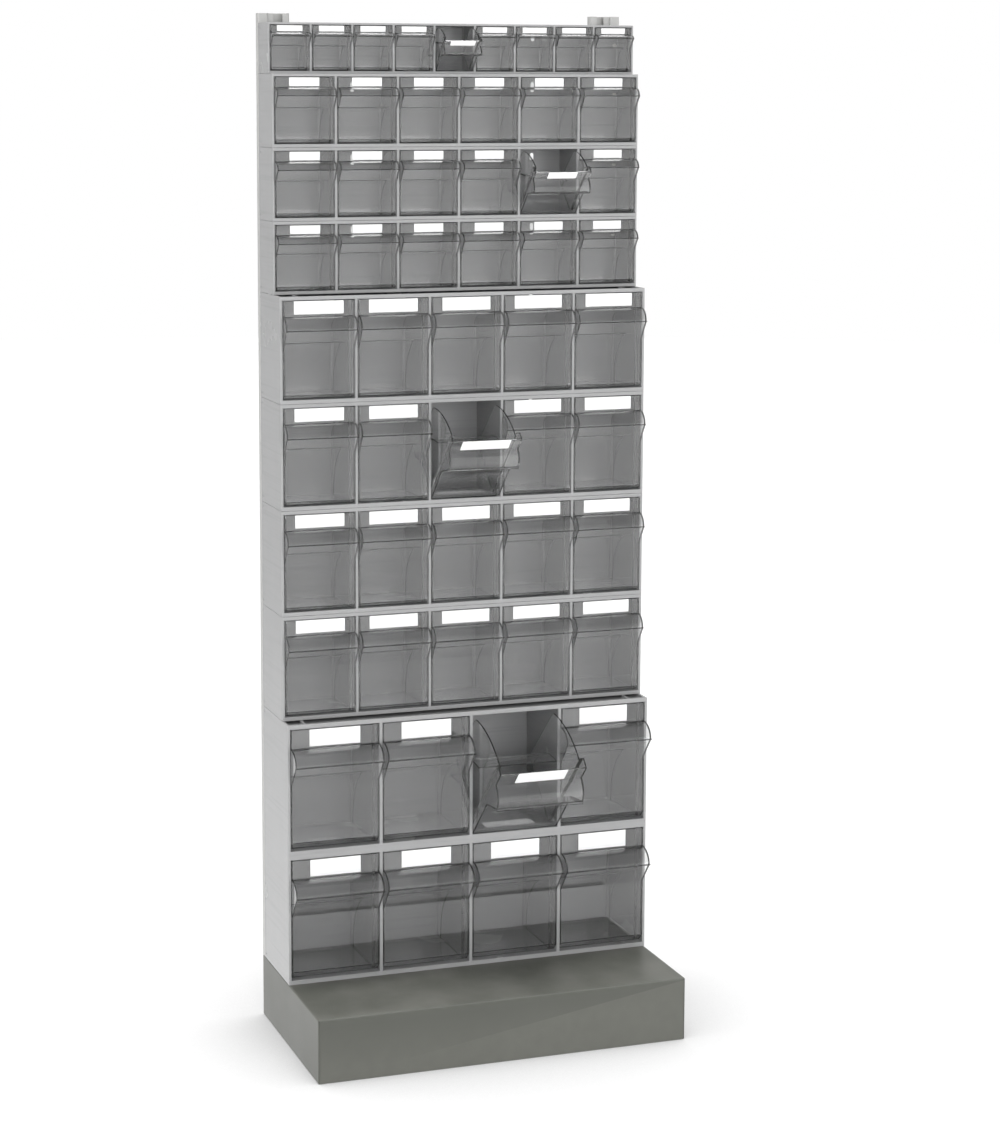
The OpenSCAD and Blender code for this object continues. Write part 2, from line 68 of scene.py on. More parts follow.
# %% [markdown]
# ## Sizes
# The stand is one width all the way up, and each kind of bin has its own list of sizes. They
# repeat the CAD source's values, because the frame's meshes don't say how thick a wall is or
# where a lip begins. Everything else is worked out from them.

# %% Sizes of the stand
STAND_W, PLINTH_D, PLINTH_H, PLINTH_T, PLINTH_HEM = 600.0, 320.0, 100.0, 2.0, 18.0
UPRIGHT_W, UPRIGHT_D, UPRIGHT_T, UPRIGHT_OVER, FOOT_T = 50.0, 15.0, 1.5, 15.0, 3.0
OUTER_LIP_W, INNER_LIP_W, LIP_STEP_W, LIP_STEP_D = 16.0, 11.0, 11.0, 6.0
BACK_WALL, TRAY_FLOOR, TRAY_RIM, STACK_GAP = 3.0, 2.0, 4.0, 0.3
OPEN_ANGLE, BACK_END_ANGLE = 45.0, 60.0
PLATE_T, SHELL_T, LEDGE_T, CARD_T = 2.0, 2.0, 1.4, 0.8
PLATE_RAKE, PLATE_ROUND = 6.0, 6.0
SIDE_GAP, FLOOR_GAP, TOP_GAP, REAR_GAP, CARD_GAP, PIN_GRIP = 0.6, 0.3, 1.0, 1.5, 0.1, 1.4
HALF_W, HOUSING_REAR = STAND_W / 2, PLINTH_D / 2 - UPRIGHT_D
CUT = 1.0


# %% Sizes of each kind of bin, and what follows from them
KIND_SIZES = {
    "name": ("large", "medium", "small", "tiny"),
    "rows": (2, 4, 3, 1),
    "count": (4, 5, 6, 9),
    "height": (207, 164.5, 112, 77),
    "depth": (143, 115, 79, 57),
    "wall": (7, 6, 5, 3.5),
    "side": (4, 4, 3, 3),
    "divider": (5, 4, 4, 3.4),
    "pin_back": (16, 10, 9, 7),
    "pin_up": (10, 9, 7.5, 6),
    "pin_r": (3, 3, 2.5, 2),
    "root": (37.5, 31, 21, 14.7),
    "tip": (60.4, 51, 33.5, 20.5),
    "lip_end": (97, 82, 56, 37.3),
    "lip": (29, 19.5, 16.5, 12.5),
    "ledge": (3.5, 2.5, 1.5, 1),
    "rear": (17.5, 14.5, 9, 6),
    "front_d": (19, 14, 13, 10),
    "shoulder": (5, 5, 3.5, 2.5),
    "body_drop": (6, 7, 1, 1),
    "card_w": (82, 79, 48, 40.5),
    "card": (35.4, 27.7, 19.7, 13.7),
}


class Kind:
    """One size of bin and of the housing that holds it. root, tip, lip_end and card are heights
    on the bin's front, as drops below the housing's top."""

    def above_pins(self, drop):
        return self.height - drop - self.wall - self.pin_up

    def __init__(self, column):
        for size, values in KIND_SIZES.items():
            setattr(self, size, values[column])
        self.pocket_w = (STAND_W - 2 * self.side - (self.count - 1) * self.divider) / self.count
        self.bin_w = self.pocket_w - 2 * SIDE_GAP
        self.body_w = self.bin_w - 2 * self.shoulder
        self.root_z = self.above_pins(self.root)
        self.tip_z = self.above_pins(self.tip)
        self.lip_end_z = self.above_pins(self.lip_end)
        self.card_z = self.above_pins(self.card)
        self.sole_r = self.pin_up - FLOOR_GAP
        self.plate_r = self.height - 2 * self.wall - self.pin_up - TOP_GAP
        self.body_r = self.plate_r - self.body_drop
        self.rear_y = self.depth - self.pin_back - BACK_WALL - REAR_GAP
        self.back_r = self.rear_y - self.rear
        self.shoulder_y = self.front_d - self.pin_back
        self.front_y = -self.pin_back
        self.lip_y = self.front_y - self.lip
        self.ledge_y = self.lip_y - self.ledge


KINDS = [Kind(column) for column in range(4)]
LARGE, MEDIUM = KINDS[:2]

level = PLINTH_H
for kind in KINDS:
    kind.floors = [level + row * kind.height for row in range(kind.rows)]
    level += kind.rows * kind.height
STACK_TOP = level
print("stack of housings ends at", STACK_TOP, "mm")

# %% [markdown]
# ## Camera
# The picture was taken from a little above the middle of the stand and to its left, with a long
# lens. The lens is written as its focal length in pixels of a picture 1000 wide, as it was
# measured, and the shift puts the optical axis where the photograph has it.

# %% Camera
def add_object(name, data):
    made = bpy.data.objects.new(name, data)
    scene.collection.objects.link(made)
    return made


PHOTO_W, PHOTO_H = 1000, 1125
FOCAL_PX = 2558.19
AXIS_PX = (417.55, 430.51)
CAMERA_PLACE = Vector((-1.3215, -3.704, 1.4674))
CAMERA_YAW, CAMERA_PITCH = 18.39, 7.36
SENSOR_MM = 36.0

lens = bpy.data.cameras.new("camera")
lens.sensor_fit = "HORIZONTAL"
lens.sensor_width = SENSOR_MM
lens.lens = FOCAL_PX * SENSOR_MM / PHOTO_W
lens.shift_x = (PHOTO_W / 2 - AXIS_PX[0]) / PHOTO_W
lens.shift_y = (AXIS_PX[1] - PHOTO_H / 2) / PHOTO_W
lens.clip_end = 60
camera = add_object("camera", lens)
camera.location = CAMERA_PLACE
camera.rotation_euler = (radians(90 - CAMERA_PITCH), 0, radians(-CAMERA_YAW))
scene.camera = camera
print("lens", round(lens.lens, 2), "mm")


# %% [markdown]
# ## Helpers for nodes
# Shader and geometry trees are both written with one helper. It makes a node, sets its options,
# and gives each input either a plain value or a link. Short helpers for arithmetic, ranges,
# mixing and noise follow from it.

# %% Helpers that add nodes
def node(tree, kind, inputs=None, **options):
    """A new node. An input's value is a constant, or a socket to link from."""
    made = tree.nodes.new(kind)
    for option, value in options.items():
        setattr(made, option, value)
    for key, value in (inputs or {}).items():
        if isinstance(value, bpy.types.NodeSocket):
            tree.links.new(value, made.inputs[key])
        else:
            made.inputs[key].default_value = value
    return made


def new_socket(tree, label, way, kind="Float"):
    return tree.interface.new_socket(label, in_out=way, socket_type="NodeSocket" + kind)


def result(tree, kind, inputs, **options):
    """A new node's first output."""
    return node(tree, kind, inputs, **options).outputs[0]


def math_node(tree, operation, first, second, clamp=False):
    inputs = {0: first, 1: second}
    return result(tree, "ShaderNodeMath", inputs, operation=operation, use_clamp=clamp)


def times(tree, first, second, clamp=False):
    return math_node(tree, "MULTIPLY", first, second, clamp)


def vector_node(tree, operation, *vectors):
    inputs = dict(enumerate(vectors))
    return node(tree, "ShaderNodeVectorMath", inputs, operation=operation).outputs


def ramp(tree, value, low, high, to_low=0.0, to_high=1.0):
    """value, carried from the range low to high into another range."""
    ends = {"From Min": low, "From Max": high, "To Min": to_low, "To Max": to_high}
    return result(tree, "ShaderNodeMapRange", {"Value": value, **ends})


def mix_colours(tree, share, first, second):
    inputs = {0: share, 6: first, 7: second}
    return node(tree, "ShaderNodeMix", inputs, data_type="RGBA").outputs[2]


def noise(tree, where, scale, detail, roughness=0.5):
    inputs = {"Vector": where, "Scale": scale, "Detail": detail, "Roughness": roughness}
    return node(tree, "ShaderNodeTexNoise", inputs).outputs["Fac"]


def object_place(tree):
    return node(tree, "ShaderNodeTexCoord").outputs["Object"]


def new_material(name):
    material = bpy.data.materials.new(name)
    material.use_nodes = True
    material.node_tree.nodes.clear()
    return material, material.node_tree


def end_material(tree, surface):
    node(tree, "ShaderNodeOutputMaterial", {"Surface": surface})


# %% [markdown]
# ## Stage
# The photograph is a cut-out look: a white ground with a soft contact shadow. Three wide soft
# lights are painted in the world: one in front, which reaches into the pockets, one overhead and
# one on the left. Gloss and clear plastic don't mirror those lights. They see a plain white
# studio instead, brightest in front, where its lights stand. The floor is an ordinary pale floor
# for light that lands on it, and for the camera and reflections it is mostly a white glow.

# %% World and floor
# Each light: where it stands, its strength, and how fast it fades towards its sides.
SOFT_LIGHTS = (
    ((0.0, -1.0, 0.05), 4.7, 8.0),
    ((0.0, 0.0, 1.0), 18.0, 30.0),
    ((-1.0, 0.0, 0.1), 1.8, 3.0),
)
# What gloss and clear plastic see: the sky from SKY_FADE's lower to its upper height, and the
# floor from a REACH's nearer to its farther distance, in metres.
FRONT_SKY, REAR_SKY = (1.9, 0.75), 0.6
SKY_FADE = (0.1, 0.3)
FRONT_GLOW, FRONT_REACH = (0.9, 1.75), (0.35, 0.75)
REAR_GLOW, REAR_REACH = (1.25, 0.7), (0.5, 4.0)
SWEEP_EDGE = 0.3
# What the camera sees of the floor: its glow in the contact shadow and away from it.
SHADOW_SHARE, CONTACT_REACH, GROUND_GLOW = 0.25, 0.5, (0.0, 1.05)
FLOOR_R = 12.0
PALE, WHITE = (0.75, 0.75, 0.75, 1), (1, 1, 1, 1)


def seen_directly(tree):
    """1 for rays from the camera, off gloss or through clear plastic, else 0. A ray that has met
    a matt surface on its way is lighting it, so it counts as 0 too."""
    path = tree.nodes.new("ShaderNodeLightPath").outputs
    gloss = math_node(tree, "MAXIMUM", path["Is Camera Ray"], path["Is Glossy Ray"])
    seen = math_node(tree, "MAXIMUM", gloss, path["Is Transmission Ray"])
    unlit = math_node(tree, "LESS_THAN", path["Diffuse Depth"], 0.5)
    return times(tree, seen, unlit)


def floor_glow(tree):
    """Dims near the stand for the camera. Reflections see more of it behind than in front."""
    contact = node(tree, "ShaderNodeAmbientOcclusion", {"Distance": CONTACT_REACH}, samples=8)
    shown = ramp(tree, contact.outputs["AO"], 0.0, 1.0, *GROUND_GLOW)
    where = object_place(tree)
    away = vector_node(tree, "LENGTH", where)["Value"]
    in_front = ramp(tree, away, *FRONT_REACH, *FRONT_GLOW)
    behind = ramp(tree, away, *REAR_REACH, *REAR_GLOW)
    rearwards = node(tree, "ShaderNodeSeparateXYZ", {0: where}).outputs["Y"]
    reflected = ramp(tree, rearwards, -SWEEP_EDGE, SWEEP_EDGE, in_front, behind)
    gloss = node(tree, "ShaderNodeLightPath").outputs["Is Glossy Ray"]
    return ramp(tree, gloss, 0.0, 1.0, shown, reflected)


def soft_light(tree, way, towards, strength, fall):
    """A wide round light in the dome, brightest in its middle."""
    facing = vector_node(tree, "DOT_PRODUCT", way, towards)["Value"]
    spread = math_node(tree, "POWER", math_node(tree, "MAXIMUM", facing, 0.0), fall)
    return times(tree, spread, strength)


def make_world():
    world = bpy.data.worlds.new("studio")
    scene.world = world
    world.use_nodes = True
    tree = world.node_tree
    tree.nodes.clear()
    way = node(tree, "ShaderNodeTexCoord").outputs["Generated"]
    front, top, left = [soft_light(tree, way, *light) for light in SOFT_LIGHTS]
    lit = math_node(tree, "ADD", math_node(tree, "ADD", front, top), left)
    axes = node(tree, "ShaderNodeSeparateXYZ", {0: way}).outputs
    in_front = ramp(tree, axes["Z"], *SKY_FADE, *FRONT_SKY)
    studio = ramp(tree, axes["Y"], -SWEEP_EDGE, SWEEP_EDGE, in_front, REAR_SKY)
    camera_ray = node(tree, "ShaderNodeLightPath").outputs["Is Camera Ray"]
    shown = ramp(tree, camera_ray, 0.0, 1.0, studio, 1.0)
    strength = ramp(tree, seen_directly(tree), 0.0, 1.0, lit, shown)
    glow = result(tree, "ShaderNodeBackground", {"Color": WHITE, "Strength": strength})
    node(tree, "ShaderNodeOutputWorld", {"Surface": glow})


def make_floor():
    material, tree = new_material("studio_floor")
    pale = result(tree, "ShaderNodeBsdfDiffuse", {"Color": PALE})
    white = result(tree, "ShaderNodeBsdfDiffuse", {"Color": WHITE})
    glow = result(tree, "ShaderNodeEmission", {"Color": WHITE, "Strength": floor_glow(tree)})
    gloss = node(tree, "ShaderNodeLightPath").outputs["Is Glossy Ray"]
    share = ramp(tree, gloss, 0.0, 1.0, SHADOW_SHARE, 0.0)
    shown = result(tree, "ShaderNodeMixShader", {0: share, 1: glow, 2: white})
    both = {0: seen_directly(tree), 1: pale, 2: shown}
    end_material(tree, result(tree, "ShaderNodeMixShader", both))
    bm = bmesh.new()
    bmesh.ops.create_circle(bm, cap_ends=True, segments=64, radius=FLOOR_R)
    mesh = bpy.data.meshes.new("studio_floor")
    bm.to_mesh(mesh)
    bm.free()
    mesh.materials.append(material)
    floor = add_object("studio_floor", mesh)
    floor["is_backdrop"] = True


make_world()
make_floor()
scene.view_settings.view_transform = "Standard"
scene.cycles.max_bounces = 24
scene.cycles.transmission_bounces = 24
scene.cycles.glossy_bounces = 6
scene.cycles.diffuse_bounces = 4


# %% [markdown]
# ## Effects that several finishes share
# Moulded plastic, powder coat and zinc all have a fine grain, edges that are a little lighter
# than the faces, and some dust on what faces up, whose pale tone is also painted light that
# lightens top faces. Each effect is a small node group that puts out a mask or a height, so that
# every material can weigh it by its own values.

# %% Grain, edge and dust groups
def shader_group(name, inputs, outputs):
    group = bpy.data.node_groups.new(name, "ShaderNodeTree")
    for label, value in inputs.items():
        new_socket(group, label, "INPUT").default_value = value
    for label in outputs:
        new_socket(group, label, "OUTPUT")
    return group, group.nodes.new("NodeGroupInput").outputs


def make_grain():
    """Fine: a close texture for bumps. Broad: slow changes of tone over a hand's width."""
    scales = {"Fine Scale": 900.0, "Broad Scale": 6.0}
    group, given = shader_group("grain", scales, ["Fine", "Broad"])
    where = object_place(group)
    fine = noise(group, where, given["Fine Scale"], detail=3.0, roughness=0.6)
    broad = noise(group, where, given["Broad Scale"], detail=4.0, roughness=0.55)
    node(group, "NodeGroupOutput", {"Fine": fine, "Broad": ramp(group, broad, low=0.3, high=0.7)})
    return group


def make_edges():
    """Mask: 1 along outer edges, broken up in patches."""
    group, given = shader_group("edges", {"Start": 0.52, "Width": 0.08, "Broken": 0.4}, ["Mask"])
    point = node(group, "ShaderNodeNewGeometry").outputs["Pointiness"]
    end = math_node(group, "ADD", given["Start"], given["Width"])
    edge = ramp(group, point, given["Start"], end)
    patches = noise(group, object_place(group), scale=45.0, detail=5.0)
    patchy = ramp(group, patches, low=0.2, high=0.8)
    kept = math_node(group, "SUBTRACT", 1.0, times(group, given["Broken"], patchy))
    node(group, "NodeGroupOutput", {"Mask": times(group, edge, kept, clamp=True)})
    return group


def make_dust_and_top_light():
    """Mask: 1 on faces that look up, in soft patches and specks: dust, and painted light on the
    tops.
    """
    group, given = shader_group("dust", {"Amount": 0.5}, ["Mask"])
    facing = node(group, "ShaderNodeNewGeometry").outputs["Normal"]
    up = node(group, "ShaderNodeSeparateXYZ", {0: facing}).outputs["Z"]
    where = object_place(group)
    soft = noise(group, where, scale=14.0, detail=6.0)
    cells = node(group, "ShaderNodeTexVoronoi", {"Vector": where, "Scale": 260.0})
    specks = ramp(group, cells.outputs["Distance"], low=0.16, high=0.08)
    patches = math_node(group, "MAXIMUM", ramp(group, soft, low=0.35, high=0.75), specks)
    lying = times(group, ramp(group, up, low=0.7, high=0.98), patches)
    mask = times(group, lying, given["Amount"], clamp=True)
    node(group, "NodeGroupOutput", {"Mask": mask})
    return group


def make_flow():
    """Mask: fine level lines, such as the melt leaves along a moulding."""
    group, given = shader_group("flow_marks", {"Run Scale": 2.5, "Line Scale": 210.0}, ["Mask"])
    run, line = given["Run Scale"], given["Line Scale"]
    stretch = result(group, "ShaderNodeCombineXYZ", {"X": run, "Y": run, "Z": line})
    drawn = vector_node(group, "MULTIPLY", object_place(group), stretch)[0]
    lines = noise(group, drawn, scale=1.0, detail=3.0, roughness=0.7)
    node(group, "NodeGroupOutput", {"Mask": ramp(group, lines, low=0.52, high=0.68)})
    return group


GRAIN, EDGES, DUST_AND_TOP_LIGHT, FLOW = make_grain(), make_edges(), make_dust_and_top_light(), make_flow()


def place_group(tree, group, values):
    made = node(tree, "ShaderNodeGroup", node_tree=group)
    for label, value in values.items():
        made.inputs[label].default_value = value
    return made.outputs


print("shader groups:", GRAIN.name, EDGES.name, DUST_AND_TOP_LIGHT.name, FLOW.name)


# %% [markdown]
# ## Finishes
# One function makes the opaque finishes, which differ only in tone, gloss and grain: the
# plinth's grey-green powder coat, the uprights' light coat, the housings' grey plastic, the
# label card and the screws' zinc. Gloss matters as much as tone here: the stand's left side is
# seen at a low angle, so a satin surface there mirrors the white studio and looks far lighter
# than the front.

# %% Opaque finishes
# The dust tone is pale: on dark tops such as the plinth's it is also painted light from above.
DUST_AND_TOP_LIGHT_TONE, DUST_ROUGH = (0.5, 0.49, 0.46, 1), 0.3
EDGE_SHARE, ROUGH_SPREAD, OPAQUE_IOR = 0.5, 0.12, 1.5
BLACK = (0, 0, 0, 1)


def opaque_material(name, tone, edge_tone, roughness, metallic=0.0, mottle=0.04,
                    grain_scale=900.0, grain_depth=0.00002, dust=0.15, flow=0.0):
    """An opaque finish, from its tone to its fine grain."""
    material, tree = new_material(name)
    grain = place_group(tree, GRAIN, {"Fine Scale": grain_scale})
    lighter_edges = times(tree, place_group(tree, EDGES, {})["Mask"], EDGE_SHARE)
    lying = place_group(tree, DUST_AND_TOP_LIGHT, {"Amount": dust})["Mask"]
    darker = tuple(c * (1 - mottle) for c in tone) + (1,)
    lighter = tuple(min(1, c * (1 + mottle)) for c in tone) + (1,)
    shown = mix_colours(tree, grain["Broad"], darker, lighter)
    if flow:
        marks = place_group(tree, FLOW, {})["Mask"]
        shown = mix_colours(tree, times(tree, marks, flow), shown, BLACK)
    shown = mix_colours(tree, lighter_edges, shown, edge_tone + (1,))
    # Pale dust on faces that look up, partly painted light that lightens the tops.
    shown = mix_colours(tree, lying, shown, DUST_AND_TOP_LIGHT_TONE)
    least, most = roughness * (1 - ROUGH_SPREAD), roughness * (1 + ROUGH_SPREAD)
    rough = ramp(tree, grain["Broad"], 0.0, 1.0, least, most)
    rough = math_node(tree, "ADD", rough, times(tree, lying, DUST_ROUGH), clamp=True)
    bump = result(tree, "ShaderNodeBump", {
        "Height": grain["Fine"], "Strength": 1.0, "Distance": grain_depth})
    end_material(tree, result(tree, "ShaderNodeBsdfPrincipled", {
        "Base Color": shown, "Roughness": rough, "Normal": bump,
        "Metallic": metallic, "IOR": OPAQUE_IOR}))
    return material


PLINTH_PAINT = opaque_material(
    "plinth_paint", tone=(0.09, 0.093, 0.08), edge_tone=(0.17, 0.172, 0.15), roughness=0.38,
    grain_scale=1400, grain_depth=0.00003)
UPRIGHT_PAINT = opaque_material(
    "upright_paint", tone=(0.44, 0.44, 0.43), edge_tone=(0.55, 0.55, 0.54), roughness=0.42,
    grain_scale=1400, grain_depth=0.00003)
HOUSING_PLASTIC = opaque_material(
    "housing_plastic", tone=(0.335, 0.337, 0.339), edge_tone=(0.42, 0.42, 0.42), roughness=0.25,
    grain_scale=2200, mottle=0.02, dust=0.1, flow=0.08)
CARD = opaque_material(
    "label_card", tone=(0.94, 0.94, 0.94), edge_tone=(0.96, 0.96, 0.96), roughness=0.7,
    grain_scale=1600, mottle=0.01, dust=0.0)
ZINC = opaque_material(
    "screw_zinc", tone=(0.62, 0.62, 0.58), edge_tone=(0.8, 0.8, 0.78), roughness=0.3,
    metallic=1.0, mottle=0.1, dust=0.0)


# %% [markdown]
# The bins are clear polystyrene. Real glass-like transmission is used, not see-through alpha,
# because the thin walls' edges then gather light and go dark, which is most of what shows of a
# clear bin. The marked ends of the walls are darkened further by painted shade, a near-black
# tone. Faint flow marks of the moulding and light scuffs vary its gloss.

# %% Clear plastic
CLEAR_TONES = (0.985, 0.987, 0.988, 1), (0.992, 0.993, 0.993, 1)
FLOW_TONE, FLOW_SHARE = (0.7, 0.7, 0.7, 1), 0.12
# Painted shade: the near-black tone of the thin ends of the walls.
RIM_PAINTED_SHADE = (0.01, 0.01, 0.01, 1)
MOST_ROUGH, WAVE_DEPTH, WAVE_STRENGTH = 0.03, 0.0003, 0.2


def clear_material():
    material, tree = new_material("clear_plastic")
    waves = place_group(tree, GRAIN, {"Broad Scale": 9.0})["Broad"]
    rough = ramp(tree, waves, 0.0, 1.0, 0.0, MOST_ROUGH)
    bump = result(tree, "ShaderNodeBump", {
        "Height": waves, "Strength": WAVE_STRENGTH, "Distance": WAVE_DEPTH})
    tone = mix_colours(tree, waves, *CLEAR_TONES)
    flow = place_group(tree, FLOW, {})["Mask"]
    tone = mix_colours(tree, times(tree, flow, FLOW_SHARE), tone, FLOW_TONE)
    # Painted shade: the marked wall ends go near black, for the dark lines that light draws at
    # clear edges.
    rim = node(tree, "ShaderNodeAttribute", attribute_name="rim").outputs["Fac"]
    tone = mix_colours(tree, rim, tone, RIM_PAINTED_SHADE)
    end_material(tree, result(tree, "ShaderNodeBsdfPrincipled", {
        "Base Color": tone, "Roughness": rough, "Normal": bump,
        "IOR": 1.49, "Transmission Weight": 0.982}))
    return material


CLEAR_PLASTIC = clear_material()
print("finishes:", [m.name for m in bpy.data.materials if m.use_nodes])


# %% [markdown]
# ## Helpers for shapes
# Moulded and folded pieces are mostly outlines carried along a straight line, so one helper makes
# such a prism, and others join or cut closed solids, round their edges, and bake the result into
# a plain mesh.

# %% Solids, joins, cuts and rounded edges
FLAT_WEIGHT = 80
MELT_GAP, MELT_ANGLE = 0.001, 0.2


def new_object(name, bm):
    mesh = bpy.data.meshes.new(name)
    bmesh.ops.recalc_face_normals(bm, faces=bm.faces)
    bm.to_mesh(mesh)
    bm.free()
    return add_object(name, mesh)


def add_between(bm, ends):
    """A closed solid between two outlines that have the same count of points."""
    first, second = [[bm.verts.new(point) for point in end] for end in ends]
    bm.faces.new(first)
    bm.faces.new(second[::-1])
    for i, corner in enumerate(first):
        j = (i + 1) % len(first)
        bm.faces.new((first[j], corner, second[i], second[j]))


def prism(outline, x0, x1):
    """A closed solid over an outline in y and z, from x0 to x1."""
    bm = bmesh.new()
    add_between(bm, [[(x, y, z) for y, z in outline] for x in (x0, x1)])
    return new_object("prism", bm)


def block(low, high):
    corners = [(low[1], low[2]), (high[1], low[2]), (high[1], high[2]), (low[1], high[2])]
    return prism(corners, low[0], high[0])


def add_rod(bm, centre, axis, r, length, sides=24):
    """A cylinder with its middle at centre, along an axis named x, y or z."""
    turned_about, angle = {"x": ("Y", 90), "y": ("X", 90), "z": ("Z", 0)}[axis]
    turn = Matrix.Rotation(radians(angle), 4, turned_about)
    place = Matrix.Translation(centre) @ turn
    bmesh.ops.create_cone(
        bm, cap_ends=True, segments=sides, radius1=r, radius2=r, depth=length, matrix=place)


def rod(centre, axis, r, length, sides=24):
    bm = bmesh.new()
    add_rod(bm, centre, axis, r, length, sides)
    return new_object("rod", bm)


def bake(obj):
    """Turns an object with its modifiers into a plain mesh."""
    bpy.context.view_layer.update()
    graph = bpy.context.evaluated_depsgraph_get()
    mesh = bpy.data.meshes.new_from_object(obj.evaluated_get(graph))
    obj.modifiers.clear()
    obj.data = mesh
    return obj


def drop(objects):
    for obj in objects:
        bpy.data.objects.remove(obj)


def combine(base, others, operation):
    """Joins closed solids to the base, or cuts them from it."""
    for other in others:
        step = base.modifiers.new(operation, "BOOLEAN")
        step.operation = operation
        step.object = other
        step.solver = "MANIFOLD"
    bake(base)
    drop(others)
    return base


def soften(obj, width, segments=2, angle=30):
    """Rounds the edges, and lets the large faces keep their flat shading."""
    obj.data.polygons.foreach_set("use_smooth", [True] * len(obj.data.polygons))
    bevel = obj.modifiers.new("edges", "BEVEL")
    bevel.width = width
    bevel.segments = segments
    bevel.limit_method = "ANGLE"
    bevel.angle_limit = radians(angle)
    bevel.use_clamp_overlap = False
    shade = obj.modifiers.new("shading", "WEIGHTED_NORMAL")
    shade.weight = FLAT_WEIGHT
    return bake(obj)


def clean(obj):
    """Melts the flat faces that joins and cuts split."""
    bm = bmesh.new()
    bm.from_mesh(obj.data)
    bmesh.ops.remove_doubles(bm, verts=bm.verts, dist=MELT_GAP)
    melt = radians(MELT_ANGLE)
    bmesh.ops.dissolve_limit(bm, angle_limit=melt, verts=bm.verts, edges=bm.edges)
    bm.to_mesh(obj.data)
    bm.free()
    return obj


def finish_piece(obj, name, material, body, replaced=()):
    """Scales a piece from millimetres, and gives it its finish and its place in the frame."""
    obj.data.transform(Matrix.Scale(MM, 4))
    obj.name = obj.data.name = name
    obj.data.materials.clear()
    obj.data.materials.append(material)
    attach(obj, body)
    if replaced:
        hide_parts(*replaced)
    return obj


# %% [markdown]
# ## Geometry Nodes
# Pockets, screws and grip dots repeat, so they are made by Geometry Nodes trees with named
# inputs. A modifier's inputs are set by their sockets' identifiers, and the result is baked.

# %% Helpers for geometry trees
def geometry_tree(name, inputs):
    tree = bpy.data.node_groups.new(name, "GeometryNodeTree")
    new_socket(tree, "Geometry", "OUTPUT", "Geometry")
    for label, kind in {"Geometry": "Geometry", **inputs, "Material": "Material"}.items():
        new_socket(tree, label, "INPUT", kind)
    return tree, tree.nodes.new("NodeGroupInput").outputs


def point_line(tree, count, axis, pitch, start=(0, 0, 0)):
    """Points in a straight row, one pitch apart along x, y or z."""
    offset = result(tree, "ShaderNodeCombineXYZ", {axis: pitch})
    inputs = {"Count": count, "Start Location": start, "Offset": offset}
    return result(tree, "GeometryNodeMeshLine", inputs, mode="OFFSET")


def copies_on(tree, points, shape):
    inputs = {"Points": points, "Instance": shape}
    return result(tree, "GeometryNodeInstanceOnPoints", inputs)


def made_real(tree, geometry):
    return result(tree, "GeometryNodeRealizeInstances", {"Geometry": geometry})


def cut_by(tree, mesh, cutter):
    inputs = {"Mesh 1": mesh, "Mesh 2": cutter}
    return result(tree, "GeometryNodeMeshBoolean", inputs, solver="MANIFOLD")


def end_tree(tree, geometry, material):
    """The tree's end: real geometry with its material."""
    inputs = {"Geometry": made_real(tree, geometry), "Material": material}
    finished = result(tree, "GeometryNodeSetMaterial", inputs)
    node(tree, "NodeGroupOutput", {"Geometry": finished})
    return tree


def run_tree(obj, tree, values):
    step = obj.modifiers.new(tree.name, "NODES")
    step.node_group = tree
    for item in tree.interface.items_tree:
        if item.in_out == "INPUT" and item.name in values:
            step[item.identifier] = values[item.name]
    return bake(obj)


# %% [markdown]
# ## Plinth
# The plinth is one sheet, cut and folded down on four sides, with a hem folded inwards at the
# floor. It is made as a hollow block. Its bends are rounded, and at the upright corners, where
# the sheet's flaps meet, there is a thin seam that ends in a small relief hole.

# %% Plinth
BEND_R = 2.2
SEAM_W, SEAM_DEEP, RELIEF_R = 0.5, 1.2, 1.3
HOLE_GAP = 0.1
STEP_END = OUTER_LIP_W - UPRIGHT_T + LIP_STEP_W
BOLT_INSETS = OUTER_LIP_W / 2, (STEP_END + UPRIGHT_W - UPRIGHT_T) / 2
BOLT_XS = [end * (HALF_W - inset) for end in (-1, 1) for inset in BOLT_INSETS]
BOLT_Y = HOUSING_REAR + UPRIGHT_D / 2
BOLT_R, BOLT_HEAD_R, BOLT_HEAD_H = 2.5, 4.2, 3.0


def make_plinth():
    half_d = PLINTH_D / 2
    shell = block((-HALF_W, -half_d, 0), (HALF_W, half_d, PLINTH_H))
    soften(shell, BEND_R, segments=4)
    inner_w, inner_d = HALF_W - PLINTH_T, half_d - PLINTH_T
    hollow = block((-inner_w, -inner_d, PLINTH_T), (inner_w, inner_d, PLINTH_H - PLINTH_T))
    soften(hollow, BEND_R / 3, segments=2)
    hem_w, hem_d = inner_w - PLINTH_HEM, inner_d - PLINTH_HEM
    way_in = block((-hem_w, -hem_d, -CUT), (hem_w, hem_d, PLINTH_H / 2))
    cutters = [hollow, way_in]
    bolt_hole_r = BOLT_R + HOLE_GAP
    cutters += [rod((x, BOLT_Y, PLINTH_H), "z", bolt_hole_r, 3 * PLINTH_T) for x in BOLT_XS]
    for end in (-1, 1):
        for face in (-1, 1):
            x, y = end * (HALF_W - BEND_R), face * half_d
            low = (x - SEAM_W / 2, min(y - face * SEAM_DEEP, y + face), -CUT)
            high = (x + SEAM_W / 2, max(y - face * SEAM_DEEP, y + face), PLINTH_H - BEND_R)
            cutters.append(block(low, high))
            cutters.append(rod((x, y, PLINTH_H - BEND_R), "y", RELIEF_R, 2 * SEAM_DEEP, sides=16))
    combine(shell, cutters, "DIFFERENCE")
    clean(shell)
    return finish_piece(shell, "plinth_sheet", PLINTH_PAINT, "stand", ["plinth"])


plinth = make_plinth()
print("plinth:", len(plinth.data.polygons), "faces")

